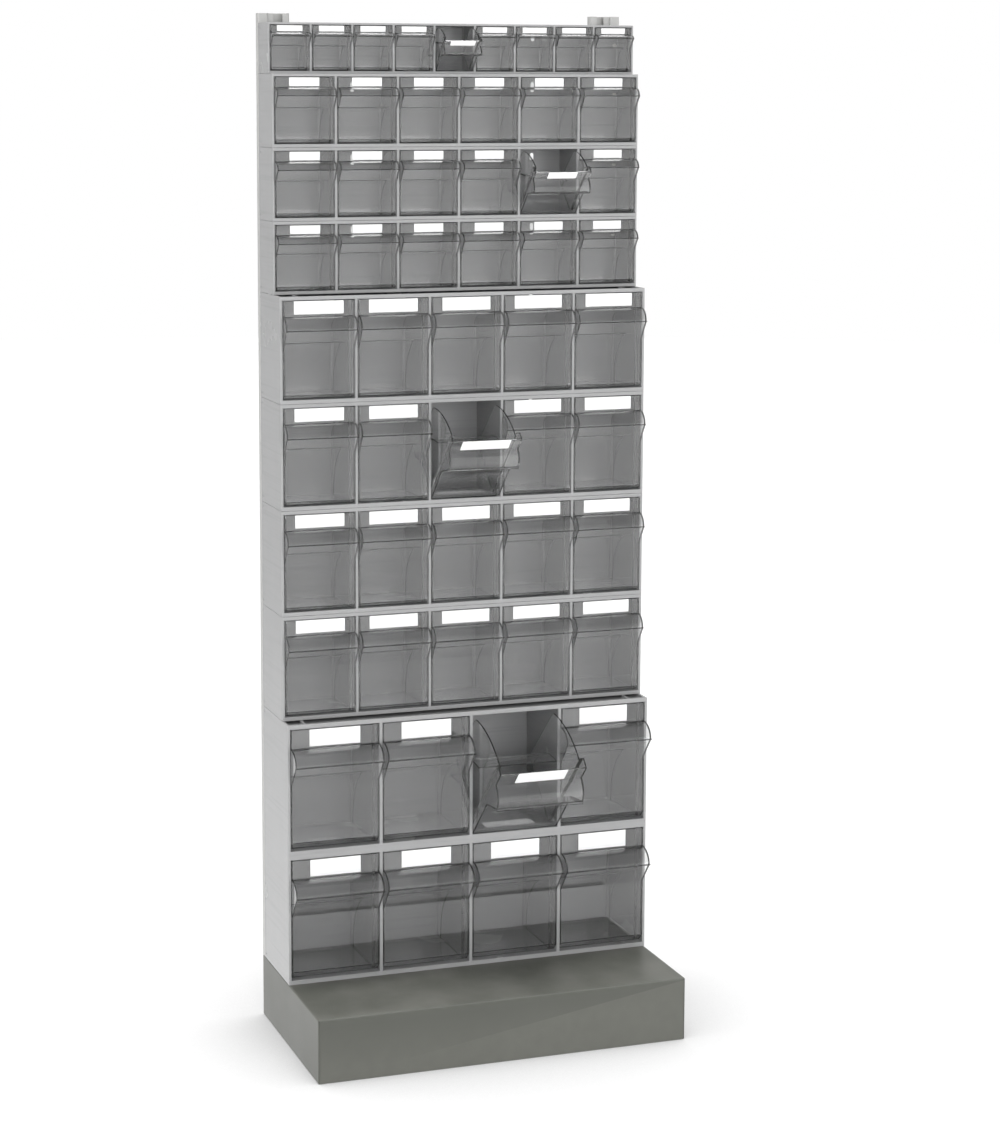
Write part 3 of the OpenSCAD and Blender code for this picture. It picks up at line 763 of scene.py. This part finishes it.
# %% [markdown]
# ## Uprights
# Each upright is a rolled sheet channel, open towards the housings, with a step folded behind its
# outer lip. Its section is a path with rounded bends, which a Geometry Nodes tree sweeps with a
# thin upright rectangle: that is how a roll former would describe it too.

# %% Folded sheet tree and uprights
SHEET_BEND_R, SHEET_BEND_STEPS = 1.6, 4


def folded_sheet_tree():
    tree, given = geometry_tree("folded_sheet", {
        "Thickness": "Float", "Length": "Float", "Bend Radius": "Float"})
    path = result(tree, "GeometryNodeMeshToCurve", {"Mesh": given["Geometry"]})
    bends = {"Curve": path, "Radius": given["Bend Radius"], "Count": SHEET_BEND_STEPS}
    fillet = result(tree, "GeometryNodeFilletCurve", bends, mode="POLY")
    sheet = {"Width": given["Thickness"], "Height": given["Length"]}
    section = result(tree, "GeometryNodeCurvePrimitiveQuadrilateral", sheet)
    sweep = {"Curve": fillet, "Profile Curve": section, "Fill Caps": True}
    swept = result(tree, "GeometryNodeCurveToMesh", sweep)
    return end_tree(tree, swept, given["Material"])


FOLDED_SHEET = folded_sheet_tree()
SCREW_R, SCREW_HEAD_R, SCREW_L, SCREW_INSET, SCREW_DROP = 2.0, 3.6, 10.0, 9.0, 30.0
SCREW_LEVELS = [z + kind.height - SCREW_DROP for kind in KINDS for z in kind.floors]
FOOT_INSET = 0.2


def make_upright(name, side):
    """The sheet's middle line runs from the step to the inner lip. side is -1 on the left."""
    half = UPRIGHT_T / 2
    step_x, inner_x = OUTER_LIP_W - half, UPRIGHT_W - half
    section = [
        (STEP_END, LIP_STEP_D - half), (step_x, LIP_STEP_D - half), (step_x, half), (half, half),
        (half, UPRIGHT_D - half), (inner_x, UPRIGHT_D - half), (inner_x, half),
        (UPRIGHT_W - INNER_LIP_W, half)]
    length = STACK_TOP + UPRIGHT_OVER - PLINTH_H
    middle = PLINTH_H + length / 2
    bm = bmesh.new()
    line = [bm.verts.new((side * (HALF_W - x), HOUSING_REAR + y, middle)) for x, y in section]
    for first, second in zip(line, line[1:]):
        bm.edges.new((first, second))
    upright = new_object(name, bm)
    run_tree(upright, FOLDED_SHEET, {
        "Thickness": UPRIGHT_T, "Length": length,
        "Bend Radius": SHEET_BEND_R, "Material": UPRIGHT_PAINT})
    low_x, high_x = sorted((side * (HALF_W - FOOT_INSET), side * (HALF_W - UPRIGHT_W + FOOT_INSET)))
    foot = block(
        (low_x, HOUSING_REAR + FOOT_INSET, PLINTH_H),
        (high_x, HOUSING_REAR + UPRIGHT_D - FOOT_INSET, PLINTH_H + FOOT_T))
    combine(upright, [foot], "UNION")
    bolts = [(x, BOLT_Y, PLINTH_H) for x in BOLT_XS if x * side > 0]
    holes = [rod(bolt, "z", BOLT_R + HOLE_GAP, 3 * FOOT_T) for bolt in bolts]
    screws = [(side * (HALF_W - SCREW_INSET), HOUSING_REAR, z) for z in SCREW_LEVELS]
    holes += [rod(screw, "y", SCREW_R + HOLE_GAP, 3 * UPRIGHT_T) for screw in screws]
    combine(upright, holes, "DIFFERENCE")
    clean(upright)
    soften(upright, 0.25, segments=1, angle=50)
    return finish_piece(upright, name, UPRIGHT_PAINT, "stand", ["uprights"])


for name, side in (("upright_left", -1), ("upright_right", 1)):
    made = make_upright(name, side)
    low, high = Vector(made.bound_box[0]), Vector(made.bound_box[6])
    print(name, [round(v / MM, 1) for v in (*low, *high)])

# %% [markdown]
# ## Housings
# A housing is one moulding: a box with open pockets in front, a shallow tray in its top, slots in
# its back for hanging it on a wall, and bores for the bins' pins. A tree cuts the pockets, set
# out in columns and rows, and whatever else the cutter object holds.

# %% Housing tree
def housing_tree():
    tree, given = geometry_tree("housing_pockets", {
        "Columns": "Int", "Rows": "Int", "First Pocket": "Vector", "Pocket Size": "Vector",
        "Column Pitch": "Float", "Row Pitch": "Float", "Cutter": "Object"})
    pocket = node(tree, "GeometryNodeMeshCube", {"Size": given["Pocket Size"]}).outputs["Mesh"]
    columns = point_line(tree, given["Columns"], "X", given["Column Pitch"])
    rows = point_line(tree, given["Rows"], "Z", given["Row Pitch"], given["First Pocket"])
    pockets = made_real(tree, copies_on(tree, rows, copies_on(tree, columns, pocket)))
    cutter = node(tree, "GeometryNodeObjectInfo", {"Object": given["Cutter"]}).outputs["Geometry"]
    housing = cut_by(tree, cut_by(tree, given["Geometry"], pockets), cutter)
    return end_tree(tree, housing, given["Material"])


HOUSING_POCKETS = housing_tree()


# %% Housings
TRAY_RIB_INSET, TRAY_RIB_W, TRAY_RIB_L = 30.0, 3.0, 30.0
SLOT_X, SLOT_DROP, SLOT_W, SLOT_L = 150.0, 18.0, 6.6, 11.5
SLOT_TURN, PIN_CLEARANCE, HOUSING_EDGE_R = 15, 0.06, 0.5
DOWEL_R, DOWEL_DEEP, DOWEL_IN, DOWEL_SIDES = 1.4, 2.0, 8.0, 16


def pocket_x(kind, i):
    """The middle of a pocket."""
    return -HALF_W + kind.side + kind.pocket_w / 2 + i * (kind.pocket_w + kind.divider)


def cut_tray(bm, kind, top):
    """The tray between its rim and its two short ribs, as one outline carried upwards."""
    front = HOUSING_REAR - kind.depth + TRAY_RIM
    rear = HOUSING_REAR - TRAY_RIM
    half, rib = HALF_W - TRAY_RIM, TRAY_RIB_W / 2
    rib_x = HALF_W - TRAY_RIB_INSET
    outline = [(-half, front)]
    for x in (-rib_x, rib_x):
        outline += [(x - rib, front), (x - rib, front + TRAY_RIB_L)]
        outline += [(x + rib, front + TRAY_RIB_L), (x + rib, front)]
    outline += [(half, front), (half, rear), (-half, rear)]
    levels = top - kind.wall + TRAY_FLOOR, top + CUT
    add_between(bm, [[(x, y, z) for x, y in outline] for z in levels])


def cut_slot(bm, x, z):
    """A slot with round ends through a housing's back."""
    r, half = SLOT_W / 2, (SLOT_L - SLOT_W) / 2
    turns = [radians(t) for t in range(SLOT_TURN - 180, 180, SLOT_TURN) if t]
    outline = [
        (x + r * cos(a), z + (copysign(half, a) + r * sin(a))) for a in turns]
    depths = HOUSING_REAR - BACK_WALL - CUT, HOUSING_REAR + CUT
    add_between(bm, [[(u, y, w) for u, w in outline] for y in depths])


def housing_cutter(kind, floor, rows):
    """Everything but the pockets that is cut from a housing."""
    bm = bmesh.new()
    top = floor + rows * kind.height
    cut_tray(bm, kind, top)
    if kind is not LARGE:
        for x in (-SLOT_X, SLOT_X):
            cut_slot(bm, x, top - SLOT_DROP)
    for end in (-1, 1):
        for z in (floor + DOWEL_IN, top - DOWEL_IN):
            dowel = (end * HALF_W, HOUSING_REAR - DOWEL_IN, z)
            add_rod(bm, dowel, "x", DOWEL_R, 2 * DOWEL_DEEP, DOWEL_SIDES)
    bore_r = kind.pin_r + PIN_CLEARANCE
    for row in range(rows):
        z = floor + row * kind.height
        pin_y, pin_z = HOUSING_REAR - kind.depth + kind.pin_back, z + kind.wall + kind.pin_up
        for i in range(1, kind.count):
            middle = (pocket_x(kind, i - 1) + pocket_x(kind, i)) / 2
            add_rod(bm, (middle, pin_y, pin_z), "x", bore_r, kind.divider + CUT)
        for end in (-1, 1):
            bore = (end * (HALF_W - kind.side), pin_y, pin_z)
            add_rod(bm, bore, "x", bore_r, 2 * (PIN_GRIP + SIDE_GAP))
            screw = (end * (HALF_W - SCREW_INSET), HOUSING_REAR, z + kind.height - SCREW_DROP)
            add_rod(bm, screw, "y", SCREW_HEAD_R + HOLE_GAP, 2 * BACK_WALL + CUT)
    return new_object("cutter", bm)


def make_housing(name, kind, floor, rows, node_name):
    front = HOUSING_REAR - kind.depth
    top = floor + rows * kind.height - STACK_GAP
    housing = block((-HALF_W, front, floor), (HALF_W, HOUSING_REAR, top))
    cutter = housing_cutter(kind, floor, rows)
    pocket_d = kind.depth - BACK_WALL + CUT
    pocket_h = kind.height - 2 * kind.wall
    run_tree(housing, HOUSING_POCKETS, {
        "Columns": kind.count, "Rows": rows,
        "First Pocket": (pocket_x(kind, 0), front - CUT + pocket_d / 2, floor + kind.height / 2),
        "Pocket Size": (kind.pocket_w, pocket_d, pocket_h),
        "Column Pitch": kind.pocket_w + kind.divider, "Row Pitch": kind.height,
        "Cutter": cutter, "Material": HOUSING_PLASTIC})
    drop([cutter])
    clean(housing)
    soften(housing, HOUSING_EDGE_R, segments=2)
    return finish_piece(housing, name, HOUSING_PLASTIC, "stand", [node_name])


for kind in KINDS:
    node_name = "lower_housings" if kind in (LARGE, MEDIUM) else "upper_housings"
    letters = "dcba"[-kind.rows:]
    # The large bins' two rows are one moulding. The other rows are lettered from the top down.
    mouldings = [(f"_{letter}", floor, 1) for letter, floor in zip(letters, kind.floors)]
    if kind is LARGE:
        mouldings = [("", kind.floors[0], kind.rows)]
    for suffix, floor, rows in mouldings:
        made = make_housing(f"housing_{kind.name}{suffix}", kind, floor, rows, node_name)
        print(made.name, len(made.data.polygons))


# %% [markdown]
# ## Screws and bolts
# Twenty countersunk screws hold the housings on the uprights, and four bolts hold the uprights'
# feet on the plinth. One of each is modelled, and a tree sets copies on a list of points.

# %% Screws and bolts
SCREW_FACE_R, SCREW_EDGE_T, SCREW_TIP = SCREW_HEAD_R - 0.2, 0.15, 1
RECESS_ARM, RECESS_HALF, RECESS_DEEP = 0.9, 2.0, 1.4
HEAD_OVERLAP, NUT_SHORT = 0.02, 0.2


def fastener_tree():
    tree, given = geometry_tree("fasteners", {"Fastener": "Object"})
    inputs = {"Object": given["Fastener"], "As Instance": True}
    shape = node(tree, "GeometryNodeObjectInfo", inputs).outputs["Geometry"]
    places = result(tree, "GeometryNodeMeshToPoints", {"Mesh": given["Geometry"]})
    return end_tree(tree, copies_on(tree, places, shape), given["Material"])


FASTENERS = fastener_tree()


def add_turned(bm, profile, sides=24):
    """A closed solid of revolution about y: profile is a list of (y, radius), from pole to pole."""
    rings = []
    for y, r in profile:
        if r == 0:
            rings.append([bm.verts.new((0, y, 0))])
        else:
            turns = [2 * pi * i / sides for i in range(sides)]
            rings.append([bm.verts.new((r * cos(a), y, r * sin(a))) for a in turns])
    for a, b in zip(rings, rings[1:]):
        for i in range(sides):
            j = (i + 1) % sides
            corners = [a[i % len(a)], a[j % len(a)], b[j % len(b)], b[i % len(b)]]
            bm.faces.new(list(dict.fromkeys(corners)))


def screw_shape():
    """A countersunk screw with a cross recess. Its flat face is at y = 0."""
    bm = bmesh.new()
    add_turned(bm, [
        (0, 0), (0, SCREW_FACE_R), (SCREW_EDGE_T, SCREW_HEAD_R), (SCREW_HEAD_R - SCREW_R, SCREW_R),
        (SCREW_L - SCREW_TIP, SCREW_R), (SCREW_L, 0)])
    screw = new_object("screw_shape", bm)
    arms = [(RECESS_HALF, RECESS_ARM / 2), (RECESS_ARM / 2, RECESS_HALF)]
    cross = [block((-x, -CUT, -z), (x, RECESS_DEEP, z)) for x, z in arms]
    combine(screw, cross, "DIFFERENCE")
    return soften(screw, 0.12, segments=1)


def bolt_shape():
    """A bolt with a round head below, and a hexagon nut above the sheet and the foot."""
    grip = PLINTH_T + FOOT_T
    bm = bmesh.new()
    add_rod(bm, (0, 0, (grip + BOLT_HEAD_H) / 2), "z", BOLT_R, grip + BOLT_HEAD_H)
    bolt = new_object("bolt_shape", bm)
    head_z = -BOLT_HEAD_H / 2 + HEAD_OVERLAP / 2
    nut_z = grip + BOLT_HEAD_H / 2 - NUT_SHORT / 2
    head = rod((0, 0, head_z), "z", BOLT_HEAD_R, BOLT_HEAD_H + HEAD_OVERLAP)
    nut = rod((0, 0, nut_z), "z", BOLT_HEAD_R, BOLT_HEAD_H - NUT_SHORT, sides=6)
    combine(bolt, [head, nut], "UNION")
    return soften(bolt, 0.25, segments=2)


def set_fasteners(name, shape, places, replaced):
    bm = bmesh.new()
    for place in places:
        bm.verts.new(place)
    made = new_object(name, bm)
    run_tree(made, FASTENERS, {"Fastener": shape, "Material": ZINC})
    drop([shape])
    return finish_piece(made, name, ZINC, "stand", replaced)


screw_places = [
    (end * (HALF_W - SCREW_INSET), HOUSING_REAR - BACK_WALL, z)
    for end in (-1, 1) for z in SCREW_LEVELS]
bolt_places = [(x, BOLT_Y, PLINTH_H - PLINTH_T) for x in BOLT_XS]
set_fasteners("housing_screws", screw_shape(), screw_places, ["screws"])
set_fasteners("foot_bolts", bolt_shape(), bolt_places, ["screws"])
print("screws:", len(screw_places), "bolts:", len(bolt_places))


# %% [markdown]
# ## The outline of a bin
# Seen from the side, a bin's front runs down from the label, swells out into the lip that fingers
# pull, and returns to a slanted heel that lands on the housing's floor when the bin is open. Its
# floor and back are one arc about the pins, so that it clears the pocket as it tilts.

# %% Outlines in y and z about a bin's pins
ARC_STEP = 3.0
LIP_STEPS = 10


def arc(r, start, end):
    count = ceil(abs(end - start) / ARC_STEP)
    angles = [radians(start + (end - start) * i / count) for i in range(count + 1)]
    return [(r * cos(a), r * sin(a)) for a in angles]


def front_top(kind, inset):
    y = kind.pin_back - inset
    return (-y, sqrt(kind.plate_r ** 2 - y ** 2))


def heel_top(kind, inset):
    y, turn = kind.pin_back - inset, radians(OPEN_ANGLE)
    return (-y, (y * sin(turn) - (kind.sole_r - inset)) / cos(turn))


def lip_curve(kind, inset):
    angles = [radians(90 * i / LIP_STEPS) for i in range(LIP_STEPS + 1)]
    out, rise = kind.lip - inset, kind.root_z - kind.tip_z - inset
    return [(kind.front_y - out * sin(a), kind.tip_z + rise * cos(a)) for a in angles]


def front_line(kind):
    under = kind.tip_z - LEDGE_T
    return [
        front_top(kind, 0), *lip_curve(kind, 0),
        (kind.ledge_y, kind.tip_z), (kind.ledge_y, under), (kind.lip_y, under),
        (kind.front_y, kind.lip_end_z), heel_top(kind, 0),
        *arc(kind.sole_r, 270 - OPEN_ANGLE, 270)]


def front_inside(kind):
    wall_y = kind.front_y + SHELL_T
    return [
        front_top(kind, SHELL_T), (wall_y, kind.root_z - SHELL_T), *lip_curve(kind, SHELL_T),
        (wall_y, kind.lip_end_z), heel_top(kind, SHELL_T),
        *arc(kind.sole_r - SHELL_T, 270 - OPEN_ANGLE, 270)]


def shell_outline(kind):
    inner_r = kind.back_r - SHELL_T
    start = -degrees(asin(kind.sole_r / kind.back_r))
    inner_start = -degrees(asin((kind.sole_r - SHELL_T) / inner_r))
    return [
        *front_line(kind), *arc(kind.back_r, start, BACK_END_ANGLE),
        *arc(inner_r, BACK_END_ANGLE, inner_start), *reversed(front_inside(kind))]


def bend(a, b, c, steps=6):
    """A smooth bend from a to c round the corner b."""
    shares = [i / steps for i in range(steps + 1)]
    weights = [((1 - t) ** 2, 2 * t * (1 - t), t * t) for t in shares]
    return [tuple(u * p + v * q + w * s for p, q, s in zip(a, b, c)) for u, v, w in weights]


def plate_outline(kind, r):
    """A side plate up to radius r about the pins, with its upper rear corner rounded."""
    heel = Vector((kind.rear_y, -kind.sole_r + PLATE_RAKE / 2))
    corner_y = kind.rear_y - PLATE_RAKE
    corner = Vector((corner_y, sqrt(r ** 2 - corner_y ** 2)))
    round_a = degrees(atan2(corner.y, corner.x) + PLATE_ROUND / r)
    round_start = corner + (heel - corner).normalized() * PLATE_ROUND
    rim = arc(r, round_a, degrees(atan2(*reversed(front_top(kind, SHELL_T)))))
    return [
        *front_line(kind), (kind.rear_y - PLATE_RAKE / 2, -kind.sole_r), tuple(heel),
        *bend(round_start, corner, rim[0]), *rim[1:]]


def clip(outline, y, sign):
    """What lies before (sign -1) or behind (sign 1) the depth y of an outline."""
    kept = []
    for (y0, z0), (y1, z1) in zip(outline, outline[1:] + outline[:1]):
        inside0, inside1 = (y0 - y) * sign >= 0, (y1 - y) * sign >= 0
        if inside0:
            kept.append((y0, z0))
        if inside0 != inside1:
            kept.append((y, z0 + (z1 - z0) * (y - y0) / (y1 - y0)))
    return kept


# %% [markdown]
# ## Bins
# A bin is one clear moulding: a wide front with short side plates, a shoulder behind the pins, and
# a narrower body. The parts are joined as closed solids, because clear plastic must have no
# faces inside it, and the card's recess is cut from the front. The edges are then rounded: in
# clear plastic those thin rounded edges draw the dark and bright lines that the eye reads.
#
# The large bins' lips get a row of grip dots. The thin ends of the walls are marked, and the
# material paints them near black, as painted shade for the dark lines of clear plastic's edges.
# The lip's underside is shaded as if it faced forwards.

# %% Grip dots, rims and the lip's underside
GRIP_DOTS, GRIP_PITCH, GRIP_R = 9, 4.4, 0.9
RIM_SLACK, RIM_ANGLE_SLACK = 1, 0.3
UNDERSIDE_EASE = {"large": 3.0, "medium": 1.0, "small": 1.0, "tiny": 1.0}


def grip_tree():
    tree, given = geometry_tree("grip_dots", {
        "Count": "Int", "Start": "Vector", "Pitch": "Float", "Radius": "Float"})
    line = point_line(tree, given["Count"], "X", given["Pitch"], given["Start"])
    ball = {"Segments": 8, "Rings": 5, "Radius": given["Radius"]}
    dot = node(tree, "GeometryNodeMeshUVSphere", ball).outputs["Mesh"]
    dots = made_real(tree, copies_on(tree, line, dot))
    both = tree.nodes.new("GeometryNodeJoinGeometry")
    for part in (dots, given["Geometry"]):
        tree.links.new(part, both.inputs[0])
    return end_tree(tree, both.outputs[0], given["Material"])


def mark_rims(obj, kind):
    """Marks the thin ends of the walls, which clear plastic shows as dark lines; the material
    paints them with near-black painted shade.
    """
    mesh = obj.data
    top_z = front_top(kind, 0)[1] - RIM_SLACK
    tip_y = kind.ledge_y + RIM_SLACK / 2
    rims = []
    for face in mesh.polygons:
        y, z = face.center[1:]
        from_pins, sideways = hypot(y, z), abs(face.normal.x)
        xs = [mesh.vertices[i].co.x for i in face.vertices]
        narrow = max(xs) - min(xs) < PLATE_T + RIM_SLACK and sideways < 0.95
        back_angle = degrees(atan2(z, y)) + RIM_ANGLE_SLACK
        past_back = back_angle > BACK_END_ANGLE and y > kind.shoulder_y
        ends = z > top_z or y < tip_y or past_back
        facing = sideways < 0.5 and from_pins < kind.plate_r - RIM_SLACK
        rim = narrow or (ends and facing)
        rims.append(float(rim and from_pins > kind.sole_r + RIM_SLACK))
    mesh.attributes.new("rim", "FLOAT", "FACE").data.foreach_set("value", rims)


def ease_underside(obj, kind):
    """Turns the shading of the lip's underside forwards, so that it mirrors the bright floor in
    front and not what lies right below."""
    mesh = obj.data
    normals = [Vector(corner.vector) for corner in mesh.corner_normals]
    for face in mesh.polygons:
        y, z = face.center[1:]
        across, along, up = face.normal
        slants = abs(across) < 0.2 and 0.3 < abs(up) < 0.95 and along * up > 0
        under_lip = kind.lip_end_z - SHELL_T < z < kind.tip_z and y < kind.front_y + SHELL_T
        if slants and under_lip:
            forwards = Vector((0, copysign(UNDERSIDE_EASE[kind.name], along), 0))
            for loop in face.loop_indices:
                normals[loop] = (normals[loop] + forwards).normalized()
    mesh.normals_split_custom_set(normals)


# %% One bin of each kind
BIN_EDGE_R, CARD_EDGE_R = 0.3, 0.15
GRIP_TREE = grip_tree()


def bin_shape(kind):
    """A closed bin of one kind, upright about its pins."""
    half_bin, half_body = kind.bin_w / 2, kind.body_w / 2
    shell = shell_outline(kind)
    plate, body_plate = plate_outline(kind, kind.plate_r), plate_outline(kind, kind.body_r)
    behind = kind.shoulder_y - SHELL_T
    shape = prism(clip(shell, kind.shoulder_y, -1), -half_bin, half_bin)
    parts = [prism(clip(shell, behind, 1), -half_body, half_body)]
    for end in (-1, 1):
        front_x = sorted((end * half_bin, end * (half_bin - PLATE_T)))
        body_x = sorted((end * half_body, end * (half_body - PLATE_T)))
        web_x = sorted((end * half_bin, end * (half_body - PLATE_T)))
        pin_x = sorted((end * (half_bin - PLATE_T), end * (half_bin + SIDE_GAP + PIN_GRIP)))
        parts.append(prism(clip(plate, kind.shoulder_y, -1), *front_x))
        parts.append(prism(clip(body_plate, behind, 1), *body_x))
        parts.append(prism(clip(clip(plate, behind, 1), kind.shoulder_y, -1), *web_x))
        parts.append(rod((sum(pin_x) / 2, 0, 0), "x", kind.pin_r, pin_x[1] - pin_x[0]))
    combine(shape, parts, "UNION")
    half_card = kind.card_w / 2 + CARD_GAP
    recess = block(
        (-half_card, kind.front_y - CUT, kind.card_z - CARD_GAP),
        (half_card, kind.front_y + CARD_T + CARD_GAP, kind.height))
    combine(shape, [recess], "DIFFERENCE")
    clean(shape)
    soften(shape, BIN_EDGE_R, segments=2, angle=25)
    mark_rims(shape, kind)
    ease_underside(shape, kind)
    if kind is LARGE:
        first_y = kind.ledge_y + BIN_EDGE_R
        first = (-(GRIP_DOTS - 1) / 2 * GRIP_PITCH, first_y, kind.tip_z - LEDGE_T / 2)
        run_tree(shape, GRIP_TREE, {
            "Count": GRIP_DOTS, "Start": first, "Pitch": GRIP_PITCH,
            "Radius": GRIP_R, "Material": CLEAR_PLASTIC})
    return shape


def card_shape(kind):
    """The label card, in its recess in the front."""
    top = front_top(kind, 0)[1] - CARD_GAP
    card = block(
        (-kind.card_w / 2, kind.front_y, kind.card_z),
        (kind.card_w / 2, kind.front_y + CARD_T, top))
    return soften(card, CARD_EDGE_R, segments=1)


shapes = {kind.name: (bin_shape(kind), card_shape(kind)) for kind in KINDS}
for name, (shape, card) in shapes.items():
    print(name, "bin:", len(shape.data.polygons), "faces")

# %% [markdown]
# Every bin is a body of its own in the frame, so each gets its own copies of the clear moulding
# and of the card, set at its joint. Four bins stand open, turned by 45 degrees about their pins.

# %% All the bins
joints = {joint["child"]: joint for joint in frame["joints"]}
for body, joint in joints.items():
    kind = next(k for k in KINDS if body.startswith(k.name))
    stands_open = joint["range_deg"][0] < 0
    place = Matrix.Translation(Vector(joint["pos_m"]) / MM)
    if stands_open:
        place = place @ Matrix.Rotation(radians(OPEN_ANGLE), 4, "X")
    for suffix, shape, material, slot, replaced in (
            ("clear", shapes[kind.name][0], CLEAR_PLASTIC, "clear_plastic", [body]),
            ("card", shapes[kind.name][1], CARD, "label_card", [])):
        mesh = shape.data.copy()
        mesh.transform(place)
        copy = add_object(f"{body}_{suffix}", mesh)
        finish_piece(copy, copy.name, material, body, replaced)
drop([obj for pair in shapes.values() for obj in pair])

visual_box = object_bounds()
for name, box in (("cad", cad_box), ("visual", visual_box)):
    print(name, [[round(v, 4) for v in corner] for corner in box])
